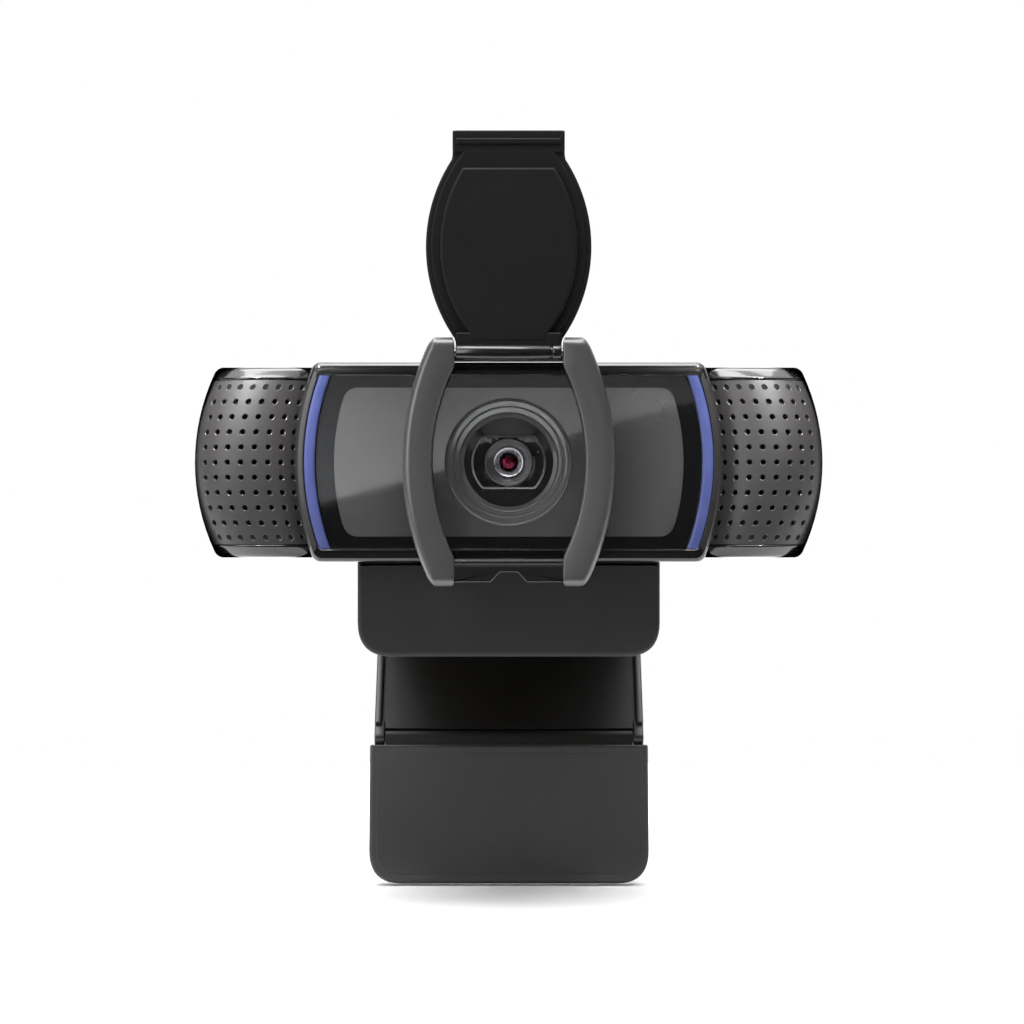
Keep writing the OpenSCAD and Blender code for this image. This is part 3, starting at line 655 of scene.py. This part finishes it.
def make_strips():
    """Curved blue strips between the window and the rims, gently crowned."""
    half_z, steps = WINDOW_HALF_Z - 0.1, 40
    across = [(-0.8, 1.0), (-0.8, 0.32), (-0.7, 0.2), (-0.4, 0.13), (0, 0.1), (0.4, 0.13),
              (0.7, 0.2), (0.8, 0.32), (0.8, 1.0)]
    loops = []
    for i in range(steps + 1):
        z = half_z * (2 * i / steps - 1)
        x = ARC_X - math.sqrt(((WINDOW_ARC + STRIP_ARC) / 2) ** 2 - z ** 2)
        loops.append([(x - o, depth(d), LENS_Z + z) for o, d in across])
    for side, shape in both_sides(loft(loops)):
        piece = new_piece("blue_strip_" + side, *shape, "head", "strip_blue", BLUE, angle=50)
        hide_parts("light_strip_" + side)


# ---------- end sections ----------

PILLOW_R, CROWN_R, PILLOW_X = 10, 38.3, 1
PILLOW_Y = 11.1
GRILLE_HALF_Z = 12.4
CROWN_SINK = 1.2
ANGLE_IN, ANGLE_OUT = -54, 56


def pillow_point(angle, z, sink=0.0):
    """A point of the left pillow: angle across it, z above the lens axis."""
    r = PILLOW_R - sink - CROWN_SINK * min(1, (z / GRILLE_HALF_Z) ** 2)
    reach = CROWN_R + r * math.sin(math.radians(angle))
    x = -PILLOW_X - math.sqrt(reach ** 2 - z ** 2)
    return (x, depth(PILLOW_Y - r * math.cos(math.radians(angle))), LENS_Z + z)


def make_grilles():
    """Perforated skins: a grid of cells, each with a round hole pressed through."""
    rows, columns, pitch_a, pitch_z, hole_r = 11, 8, 12.0, 2.28, 0.41
    per_side = 4
    a_edges = [-pitch_a * columns / 2 + pitch_a * i for i in range(columns + 1)]
    z_edges = [pitch_z * (i - rows / 2) for i in range(rows + 1)]
    z_edges[0], z_edges[-1] = -GRILLE_HALF_Z, GRILLE_HALF_Z
    mm_per_degree = math.radians(1) * PILLOW_R
    verts, faces = [], []

    def cell(a0, a1, z0, z1, hole):
        """One cell's ring of faces: skin, rim of the hole, and the hole's wall."""
        ca, cz = (a0 + a1) / 2, (z0 + z1) / 2
        count = 4 * per_side
        edge = []
        for i in range(count):
            side, t = divmod(i, per_side)
            t /= per_side
            corner = [(a1, z0), (a1, z1), (a0, z1), (a0, z0)]
            (pa, pz), (qa, qz) = corner[side], corner[(side + 1) % 4]
            edge.append((pa + (qa - pa) * t, pz + (qz - pz) * t))
        start = len(verts)
        verts.extend(pillow_point(a, z) for a, z in edge)
        if not hole:
            faces.append(tuple(range(start, start + count)))
            return
        for radius, sink in ((hole_r + 0.1, 0.0), (hole_r, 0.09), (hole_r, 0.9)):
            for a, z in edge:
                turn = math.atan2(z - cz, (a - ca) * mm_per_degree)
                verts.append(pillow_point(ca + radius * math.cos(turn) / mm_per_degree,
                                          cz + radius * math.sin(turn), sink))
        for ring in range(3):
            for i in range(count):
                j = (i + 1) % count
                p, q = start + ring * count, start + (ring + 1) * count
                faces.append((p + i, p + j, q + j, q + i))

    for i in range(columns):
        for j in range(rows):
            cell(a_edges[i], a_edges[i + 1], z_edges[j], z_edges[j + 1], True)
    for a0, a1 in ((ANGLE_IN, -51), (-51, a_edges[0]), (a_edges[-1], 52), (52, ANGLE_OUT)):
        for j in range(rows):
            cell(a0, a1, z_edges[j], z_edges[j + 1], False)
    for side, shape in both_sides((verts, faces)):
        piece = new_piece("mesh_grille_" + side, *shape, "head", "grille_grey", GRILLE,
                          angle=32, flat_caps=False)
        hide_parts("grille_" + side)


def make_end_trims():
    """Gloss ledges above and below each grille, following its pillow."""
    profile = [(12.45, 1.2), (12.45, 0.1), (12.5, -0.02), (12.62, -0.08), (12.8, -0.02),
               (13.0, 0.14), (13.75, 0.8), (14.0, 1.05), (14.25, 1.4), (14.36, 1.8), (14.4, 2.4)]
    loops = []
    steps = 36
    for i in range(steps + 1):
        angle = ANGLE_IN + (ANGLE_OUT - ANGLE_IN) * i / steps
        loop = []
        for z, sink in profile:
            x = pillow_point(angle, z, sink * 0.35)[0]
            loop.append((x, *pillow_point(angle, z, sink)[1:]))
        x, y, z = loop[-1]
        loop.append((x, max(y, depth(5)), z))
        loops.append(loop)
    top = skin(loops, closed=False)
    bottom = ([(x, y, 2 * LENS_Z - z) for x, y, z in top[0]], top[1])
    for side, shape in both_sides(join_parts(top, bottom)):
        new_piece("end_trim_" + side, *shape, "head", "gloss_black", GLOSS, angle=50)


def smooth_through(points, t):
    """The value at t on a smooth curve through (position, value) points."""
    for i in range(len(points) - 1):
        (t0, v0), (t1, v1) = points[i], points[i + 1]
        if t <= t1 or i == len(points) - 2:
            before = points[max(i - 1, 0)]
            after = points[min(i + 2, len(points) - 1)]
            m0 = (v1 - before[1]) / (t1 - before[0])
            m1 = (after[1] - v0) / (after[0] - t0)
            span_t = t1 - t0
            s = min(max((t - t0) / span_t, 0), 1)
            return ((2 * s ** 3 - 3 * s ** 2 + 1) * v0 + (s ** 3 - 2 * s ** 2 + s) * span_t * m0
                    + (3 * s ** 2 - 2 * s ** 3) * v1 + (s ** 3 - s ** 2) * span_t * m1)
    return points[-1][1]


SHELL_HALF_H = span("rear_shell", 2)[1] - LENS_Z
BELLY_HALF_X = 25
BELLY_Z = -11.4
END_ARC = 32
KNUCKLE_HALF = 6


def shell_loop(d, half_w, half_h, corner):
    """One section of the rear shell, with the belly cut away over the clip."""
    side = [(half_w - END_ARC + math.sqrt(END_ARC ** 2 - z ** 2) - cut, z)
            for z, cut in side_cuts(half_h, corner, 16, 8)]
    belly = max(BELLY_Z, -half_h)
    belly_x = min(BELLY_HALF_X, half_w - corner - 3)
    low = [(-belly_x - 0.4, -half_h), (-belly_x, belly), (belly_x, belly),
           (belly_x + 0.4, -half_h)]
    points = side + [(-x, -z) for x, z in side] + low
    return [(x, depth(d), LENS_Z + z) for x, z in points]


def make_rear_shell():
    """The back cover with its rounded rear, and the post and barrel that tilt on the clip."""
    front_d, length = 5, 19
    heights = [(front_d, 0), (9, 0), (14, -0.7), (20, -2.6), (23, -4.4), (24, -6)]
    widths = [(front_d, 0), (6, 0), (10, -1.2), (16, -4), (22, -8), (24, -11)]
    loops = []
    steps = 30
    for i in range(steps + 1):
        t = i / steps
        d = front_d + length * (1 - (1 - t) ** 1.6)
        corner = 0.9 + 3.3 * t
        loops.append(shell_loop(d, BODY_HALF_W + smooth_through(widths, d),
                                SHELL_HALF_H + smooth_through(heights, d), corner))
    for side, d in ((14, 24.06), (20, 24.12), (26, 24.16)):
        loops.append(shell_loop(d, BODY_HALF_W - side, SHELL_HALF_H - 5.4 - side * 0.15, 4.0))
    shell = loft(loops, cap_first=False)
    knuckle_y, knuckle_z = joint_point("head_tilt").yz
    post = rectangle(knuckle_y - 1.6, knuckle_z, knuckle_y + 1.6, LENS_Z - 11, 0.1, 3)
    post = extrude_x(post, -KNUCKLE_HALF, KNUCKLE_HALF)
    ends = [(KNUCKLE_HALF - 0.25, 1.7), (KNUCKLE_HALF, 1.45), (KNUCKLE_HALF, 0.9)]
    barrel = bar_x([(-x, r) for x, r in reversed(ends)] + ends, knuckle_y, knuckle_z)
    piece = new_piece("back_cover", *join_parts(shell, post, barrel), "head", "gloss_black",
                      GLOSS, angle=38)
    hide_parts("rear_shell")


# ---------- privacy shutter ----------

ARM_END_X, ARM_HALF_Z, ARM_T = 8.1, 18.6, 3.2


def arm_section(z):
    """The left arm's inner and outer distance from the middle at height z."""
    outer = math.sqrt(41.7 ** 2 - z ** 2) - 25.8
    inner = max(ARM_END_X, math.sqrt(32.2 ** 2 - z ** 2) - 20.7)
    return inner, outer


def arm_part():
    """One curved arm: flat face, broad outer shoulder, fine inner chamfer."""
    loops = []
    end_r = 1.5
    for z, back in side_cuts(ARM_HALF_Z, end_r, 44):
        inner, outer = arm_section(z)
        inner += back * 0.3
        outer -= back * 0.5
        shoulder = min(1.35, (outer - inner) * 0.42)
        section = [(inner, ARM_T), (inner, 0.3), (inner + 0.08, 0.1), (inner + 0.26, 0.0)]
        for k in range(9):
            a = math.pi / 2 * k / 8
            section.append((outer - shoulder * (1 - math.sin(a)), 1.25 * (1 - math.cos(a))))
        section += [(outer - 0.03, 2.6), (outer - 0.3, ARM_T)]
        loops.append([(-x, ARM_Y + max(d, back), LENS_Z + z) for x, d in section])
    return loft(loops)


def make_shutter_frame():
    """Both arms, their hooks over the body, and the bars that join them."""
    gap = BODY_HALF_H + 0.15
    half = ARM_END_X + 0.1
    hook_back = depth(5.95)
    pieces = [arm_part()]
    for sign in (1, -1):
        low, high = sorted((sign * gap, sign * (ARM_HALF_Z - 0.5)))
        pieces.append(block((-11.4, depth(-1.5), LENS_Z + low),
                            (-half, hook_back, LENS_Z + high), 0.5))
        low, high = sorted((sign * (gap - 0.55), sign * (gap + 0.4)))
        pieces.append(block((-11.2, depth(5.05), LENS_Z + low),
                            (-ARM_END_X - 0.2, hook_back, LENS_Z + high), 0.2))
    left = join_parts(*pieces)
    top_bar = block((-half, depth(-0.3), LENS_Z + gap), (half, hook_back, LENS_Z + 15.95), 0.15)
    low, high, notch = -18.0, -14.7, -16.5
    outline = rounded([(-8.3, low), (-2.7, low), (-1.3, notch), (1.3, notch), (2.7, low),
                       (8.3, low), (8.3, high), (-8.3, high)],
                      [0.1, 0.35, 0.4, 0.4, 0.35, 0.1, 0.1, 0.1])
    outline = [(x, z + LENS_Z) for x, z in outline]
    low_bar = slab(outline, ARM_Y + 0.3, depth(-0.3), 0.25, 0.1)
    ridge = block((-half, ARM_Y + 0.26, LENS_Z - 15.6), (half, ARM_Y + 0.8, LENS_Z - 15.2), 0.12)
    piece = new_piece("shutter_arms", *join_parts(left, mirrored(left)), "head", "arm_grey",
                      ARM, angle=40)
    new_piece("shutter_bars", *join_parts(top_bar, low_bar, ridge), "head", "arm_grey",
              FLAP_GLOSS, angle=40)
    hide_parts("shutter_frame")


FLAP_ARC, FLAP_HALF_W, FLAP_LEN = 24.0, 12.4, 33.3
TAB_HALF, ROOT_HALF = 8.4, 7.9


def flap_outline(inset, low, high, tab_half=None):
    """The flap's outline above its hinge, counter-clockwise from the lower left."""
    hinge = joint_point("shutter_flip").z
    middle = hinge + 15.9
    side = []
    steps = 44
    for i in range(steps + 1):
        z = hinge + low + (high - low) * i / steps
        reach = (FLAP_ARC - inset) ** 2 - (z - middle) ** 2
        x = (math.sqrt(reach) if reach > 0 else 0) - (FLAP_ARC - FLAP_HALF_W)
        if z < middle:
            x = max(x, ROOT_HALF - inset)
        elif tab_half:
            x = max(x, tab_half)
        side.append((x, z))
    return side + [(-x, z) for x, z in reversed(side)]


def make_flap():
    """The flap: thin flange, raised pad, stepped tab, and the hinge knuckle."""
    hinge = joint_point("shutter_flip")
    hinge_y, hinge_z = hinge.yz
    flange_y, back_y = hinge_y + 1.3, hinge_y + 2.5
    flange = slab(flap_outline(0, 1.5, FLAP_LEN, TAB_HALF), flange_y, back_y, 0.32, 0.35, 5)
    rib = slab(flap_outline(0.75, 1.8, 30.4), flange_y - 0.26, flange_y + 0.3, 0.23, 0.05, 4)
    pad = slab(flap_outline(2.15, 1.6, 27.6), hinge_y - 0.1, flange_y + 0.2, 0.4, 0.05, 5)
    tab_low, tab_high = hinge_z + FLAP_LEN - 3.4, hinge_z + FLAP_LEN
    tab = slab(rectangle(-TAB_HALF, tab_low, TAB_HALF, tab_high, 0.5),
               flange_y - 0.25, back_y + 0.12, 0.24, 0.35, 5)
    half = ROOT_HALF
    lip = block((-half, flange_y - 0.5, tab_high - 2.1), (half, flange_y, tab_high - 1.2), 0.2)
    web = block((-half, hinge_y - 0.05, hinge_z + 0.2), (half, back_y - 0.2, hinge_z + 3.0), 0.25)
    leaf = new_piece("flap_leaf", *join_parts(flange, rib, tab, lip, web), "flap",
                     "flap_black", FLAP, angle=40)
    new_piece("flap_pad", *pad, "flap", "flap_black", FLAP, angle=40)
    knuckle = bar_x([(-half, 0.65), (-half, 1.05), (0.15 - half, 1.2), (6.15, 1.2), (6.3, 1.05),
                     (6.3, 0.95), (6.5, 0.95), (6.5, 1.05), (6.65, 1.2), (half - 0.15, 1.2),
                     (half, 1.05), (half, 0.65)], hinge_y, hinge_z)
    new_piece("flap_knuckle", *knuckle, "flap", "flap_black", FLAP_GLOSS, angle=50)
    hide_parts("shutter_flap")


# ---------- monitor clip ----------

CORNER_R = 5.2


def u_outline(half, low, high, corner=CORNER_R):
    """A plate with two rounded lower corners, counter-clockwise."""
    return rectangle(-half, low, half, high, [corner, corner, 0.4, 0.4], 10)


def make_clip():
    """Top plate and lip in one bent moulding with ears for the leg, and its two pads."""
    front, back = PLATE_Y
    start = front + 0.9
    inner_half = CLIP_HALF_W - 0.05
    ear_x, ear_r = 18.3, 1.9
    plate = rectangle(-inner_half, start, inner_half, back, [0.1, 0.1, 4.5, 4.5], 8)
    lip = slab(u_outline(CLIP_HALF_W, LIP_Z, PLATE_TOP), front, front + 3, 0.7, 0.4)
    parts = [flat_slab(plate, PLATE_TOP, PLATE_UNDER, 0.6, 0.5), lip]
    leg_y, leg_z = joint_point("leg_fold").yz
    ear = rectangle(leg_y - ear_r, leg_z - ear_r, leg_y + ear_r, PLATE_UNDER + 0.2,
                    [1.85, 1.85, 0.1, 0.1])
    for sign in (-1, 1):
        x0, x1 = sorted((sign * ear_x, sign * inner_half))
        parts.append(extrude_x(ear, x0, x1, 0.35))
    piece = new_piece("clip_shell", *join_parts(*parts), "clip", "clip_black", CLIP, angle=40)
    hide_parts("clip_plate")
    low, high = (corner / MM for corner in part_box("plate_pad"))
    outline = rectangle(low.x, low.y, high.x, high.y, 2.0)
    pad = new_piece("rest_pad", *flat_slab(outline, high.z, low.z, 0.05, 0.25, 4), "clip",
                    "pad_rubber", PAD)
    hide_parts("plate_pad")
    low, high = (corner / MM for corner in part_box("lip_pad"))
    outline = rectangle(low.x, low.z, high.x, high.z, 1.5)
    pad = new_piece("grip_pad", *slab(outline, low.y, high.y, 0.05, 0.25, 4), "clip",
                    "pad_rubber", PAD)
    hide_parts("lip_pad")


def hinge_place(hinge, angle):
    """Where a piece drawn flat along -Y from its hinge lies at rest."""
    return Matrix.Translation(hinge * MM) @ Matrix.Rotation(angle, 4, "X")


def make_leg(hinge, angle, length):
    """A recessed web between two side rails, its near-black colour painted shade, with the tripod boss behind."""
    place = hinge_place(hinge, angle)
    half, rail_w, half_t, ear_r, neck = 22.3, 1.15, 1.9, 1.2, -2.6
    end = ear_r + 0.12 - length
    rail_end = ear_r + 0.7 - length
    web = flat_slab(rectangle(-half + 0.6, end, half - 0.6, -2.7, 0.2, 3), 0.9, -0.9, 0.1, 0.2)
    boss_y, boss_r = -20, 5.6

    def turned(profile):
        """A profile turned about the boss's axis, standing out behind the web."""
        verts, faces = lathe(profile)
        return [(x, boss_y + z, -y) for x, y, z in verts], faces

    boss = turned([(4.2, 0.4), (4.2, 6.0), (4.5, 6.0), (5.25, 6.0), (5.6, 5.6), (5.6, 1.4),
                   (6.2, 0.85)])
    ribs = []
    for step in range(6):
        turn = math.radians(60 * step + 30)
        dx, dy = math.cos(turn), math.sin(turn)
        near, far = boss_r - 0.1, boss_r + 4.5
        across = (-dy * 0.4, dx * 0.4)
        ring = []
        for r, top in ((near, -4.8), (far, -1.0)):
            ring.append([(dx * r + across[0] * s, boss_y + dy * r + across[1] * s, t)
                         for s, t in ((-1, -0.8), (1, -0.8), (1, top), (-1, top))])
        ribs.append(loft(ring))
    panel = new_piece("leg_web", *join_parts(web, boss, *ribs), "leg", "leg_black", LEG_SHADED,
                      angle=40, place=place)
    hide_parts("leg")
    rails = []
    ear_x = 20.6
    for sign in (-1, 1):
        x0, x1 = sorted((sign * (half - rail_w), sign * half))
        rail = rectangle(rail_end, -half_t, neck, half_t, [0.1, 0.6, 0.6, 0.1])
        rails.append(extrude_x(rail, x0, x1, 0.3))
        x0, x1 = sorted((sign * ear_x, sign * half))
        ear = rectangle(-length - ear_r, -ear_r, rail_end + 0.8, ear_r, [1.15, 0.1, 0.1, 1.15])
        rails.append(extrude_x(ear, x0, x1, 0.25))
    head = rectangle(neck - 1, -half_t, half_t, half_t, [0.2, 1.85, 1.85, 0.2])
    rails.append(extrude_x(head, -18, 18, 0.3))
    cross = rectangle(neck - 1.1, -half_t, neck, half_t, 0.3)
    rails.append(extrude_x(cross, -half, half, 0.3))
    new_piece("leg_rails", *join_parts(*rails), "leg", "leg_black", RAIL, angle=40, place=place)
    thread = []
    turns, steps, pitch = 4.4, 24, 1.143
    for i in range(int(turns * steps) + 1):
        a = 2 * math.pi * i / steps
        base = 0.5 + pitch * i / steps
        thread.append([(r * math.cos(a), boss_y + r * math.sin(a), -6.0 + base + dz)
                       for r, dz in ((3.2, -0.5), (2.75, 0.0), (3.2, 0.5))])
    wall = turned([(3.2, 0.45), (3.2, 5.7), (3.5, 6.0), (4.1, 6.0), (4.2, 5.9), (4.2, 0.45)])
    floor = turned([(ON_AXIS, 0.45), (3.2, 0.45)])
    insert = join_parts(wall, floor, skin(thread, closed=False))
    insert = new_piece("threaded_insert", *insert, "leg", "insert_brass", BRASS, angle=40,
                       place=place)
    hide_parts("tripod_insert")


def make_foot(hinge, angle):
    """The swinging foot, its hinge knuckle, and the rubber face set into its front."""
    place = hinge_place(hinge, angle)
    low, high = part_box("foot_pad")
    pad_half = (high.x - low.x) / 2 / MM
    half = span("foot", 0)[1]
    length, start, ear_r, knuckle_half = 24.0, -1.28, 1.2, 20.52
    body = flat_slab(u_outline(half, -length, start), 1.5, -1.5, 0.45, 0.6)
    knuckle = rectangle(start - 0.8, -ear_r, ear_r, ear_r, [0.1, 1.15, 1.15, 0.1])
    knuckle = extrude_x(knuckle, -knuckle_half, knuckle_half, 0.12)
    piece = new_piece("foot_shell", *body, "foot", "foot_grey", FOOT_LIT, angle=40, place=place)
    new_piece("foot_knuckle", *knuckle, "foot", "leg_black", LEG_SHADED, angle=40, place=place)
    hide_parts("foot")
    outline = u_outline(pad_half, 1.2 - length, -2.8, CORNER_R - 1)
    face = new_piece("foot_grip", *flat_slab(outline, 1.56, 0.9, 0.12, 0.05), "foot",
                     "pad_rubber", PAD, angle=40, place=place)
    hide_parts("foot_pad")


def make_hinged_clip():
    leg, foot = joint_point("leg_fold"), joint_point("foot_fold")
    along = foot - leg
    mounts = {mount["name"]: mount for mount in frame["record"]["mounts"]}
    out = mounts["foot_face"]["axis"]
    make_leg(leg, math.atan2(-along.z, -along.y), along.length)
    make_foot(foot, math.atan2(-out[1], out[2]))


make_front_frame()
make_window()
make_panel()
make_rings()
make_lens()
make_strips()
make_grilles()
make_end_trims()
make_rear_shell()
make_shutter_frame()
make_flap()
make_clip()
make_hinged_clip()


# ---------- studio ----------

CAMERA_GAP = 450
VIEW_WIDTH = 153.6
SENSOR_W = 36
CAMERA_X, CAMERA_Z = 0.5, LENS_Z - 7.5


def make_camera():
    camera = place_in_scene("camera", bpy.data.cameras.new("camera"))
    camera.location = Vector((CAMERA_X, depth(-CAMERA_GAP), CAMERA_Z)) * MM
    camera.rotation_euler = (math.radians(90), 0, 0)
    camera.data.sensor_width = SENSOR_W
    camera.data.lens = SENSOR_W * CAMERA_GAP / VIEW_WIDTH
    camera.data.clip_start = 0.01
    bpy.context.scene.camera = camera


def matt_paint(name, tone, rough, specular):
    """A plain grey paint for a studio sheet."""
    n = Nodes(name)
    n.fix(Base_Color=(tone, tone, tone, 1), Roughness=rough, Specular_IOR_Level=specular)
    return n.material


def stage_sheet(name, verts, faces, paint, hidden_from=()):
    """A studio sheet in millimetres, not part of the object, hidden from some rays."""
    mesh = bpy.data.meshes.new(name)
    mesh.from_pydata([Vector(v) * MM for v in verts], [], faces)
    mesh.materials.append(paint)
    sheet = place_in_scene(name, mesh)
    sheet.visible_camera = "camera" not in hidden_from
    sheet.visible_diffuse = "diffuse" not in hidden_from
    sheet.visible_shadow = "shadow" not in hidden_from
    sheet.visible_transmission = "transmission" not in hidden_from
    return mesh


def make_floor():
    """A pale floor, and a sweep behind it that only light and reflections meet."""
    floor_z = CAD_BOX[0][2] / MM
    paint = matt_paint("pale_floor", 0.93, 0.9, 0.1)
    start, bend = 260, 240
    sweep = [(start, 0)]
    for i in range(1, 17):
        a = math.pi / 2 * i / 16
        sweep.append((start + bend * math.sin(a), bend * (1 - math.cos(a))))
    sweep.append((start + bend, 1400))
    for name, half_w, profile, hidden in (("floor", 620, [(-620, 0), (start, 0)], ()),
                                          ("backdrop", 1400, sweep, ("camera",))):
        verts = [(x, y, floor_z + z) for y, z in profile for x in (-half_w, half_w)]
        faces = [(2 * i, 2 * i + 1, 2 * i + 3, 2 * i + 2) for i in range(len(profile) - 1)]
        mesh = stage_sheet(name, verts, faces, paint, hidden)
        for face in mesh.polygons:
            face.use_smooth = True


def area_light(name, place, target, size, energy, spread=180):
    """A rectangular softbox aimed at a point, in millimetres and watts."""
    data = bpy.data.lights.new(name, "AREA")
    data.shape = "RECTANGLE"
    data.size, data.size_y = size[0] * MM, size[1] * MM
    data.energy = energy
    data.spread = math.radians(spread)
    light = place_in_scene(name, data)
    light.location = Vector(place) * MM
    aim = Vector(target) * MM - light.location
    light.rotation_euler = aim.to_track_quat("-Z", "Y").to_euler()
    light.visible_camera = False


def mirror_place(x, z, reach):
    """Where the camera's view of a point on the flat window lands after reflection."""
    grow = 1 + reach / CAMERA_GAP
    return (CAMERA_X + (x - CAMERA_X) * grow, depth(-reach), CAMERA_Z + (z - CAMERA_Z) * grow)


def make_reflected_card():
    """A softly graded card whose slanting lower edge shows in the window."""
    reach, strength = 600, 1.7
    low_left, low_right = (-31.0, -7.0 + LENS_Z), (31.5, 10.2 + LENS_Z)
    high = 24 + LENS_Z
    steps = 16
    verts, faces, shade = [], [], []
    for i in range(steps + 1):
        t = i / steps
        x = low_left[0] + (low_right[0] - low_left[0]) * t
        z = low_left[1] + (low_right[1] - low_left[1]) * t
        for k in range(steps + 1):
            up = k / steps
            verts.append(mirror_place(x, z + (high - z) * up, reach))
            shade.append((1 - 0.8 * up) * (1 - 0.55 * t))
    for i in range(steps):
        for k in range(steps):
            a = i * (steps + 1) + k
            faces.append((a, a + 1, a + steps + 2, a + steps + 1))
    n = Nodes("card_glow")
    n.tree.nodes.clear()
    emission = n.add("ShaderNodeEmission", Strength=strength)
    attribute = n.add("ShaderNodeAttribute")
    attribute.attribute_name = "shade"
    output = n.add("ShaderNodeOutputMaterial")
    n.link(attribute.outputs["Color"], emission.inputs["Color"])
    n.link(emission.outputs["Emission"], output.inputs["Surface"])
    mesh = stage_sheet("reflected_card", verts, faces, n.material,
                       ("camera", "diffuse", "shadow"))
    layer = mesh.color_attributes.new("shade", "FLOAT_COLOR", "POINT")
    for i, value in enumerate(shade):
        layer.data[i].color = (value, value, value, 1)


def make_dark_flag():
    """A black flag over the front of the floor, seen only in mirror-like surfaces."""
    floor_z = CAD_BOX[0][2] / MM + 0.5
    half_w, front, back = 900, -860, -70
    verts = [(-half_w, front, floor_z), (half_w, front, floor_z),
             (half_w, back, floor_z), (-half_w, back, floor_z)]
    stage_sheet("dark_flag", verts, [(0, 1, 2, 3)], matt_paint("flag_black", 0.01, 1.0, 0.0),
                ("camera", "diffuse", "shadow", "transmission"))


def make_studio():
    world = bpy.data.worlds.new("studio")
    world.use_nodes = True
    tree = world.node_tree
    path = tree.nodes.new("ShaderNodeLightPath")
    level = tree.nodes.new("ShaderNodeMapRange")
    level.inputs["To Min"].default_value = 0.1
    level.inputs["To Max"].default_value = 1.0
    tree.links.new(path.outputs["Is Camera Ray"], level.inputs["Value"])
    tree.links.new(level.outputs["Result"], tree.nodes["Background"].inputs["Strength"])
    tree.nodes["Background"].inputs["Color"].default_value = (1, 1, 1, 1)
    bpy.context.scene.world = world
    bpy.context.scene.view_settings.view_transform = "Standard"
    aim = (0, 0, LENS_Z)
    area_light("ceiling", (0, 200, 1500), (0, 200, 0), (3200, 2600), 62)
    area_light("top_box", (0, 90, 500), aim, (460, 260), 2.4)
    area_light("high_front", (-60, -150, 440), aim, (460, 160), 2.0)
    area_light("key_left", (-420, -400, 160), aim, (240, 420), 1.3)
    for name, x in (("grille_light_left", -62), ("grille_light_right", 62)):
        area_light(name, (x, -90, LENS_Z + 85), (x * 0.64, depth(2), LENS_Z + 15), (12, 8),
                   0.0062, 22)


make_camera()
make_floor()
make_reflected_card()
make_dark_flag()
make_studio()
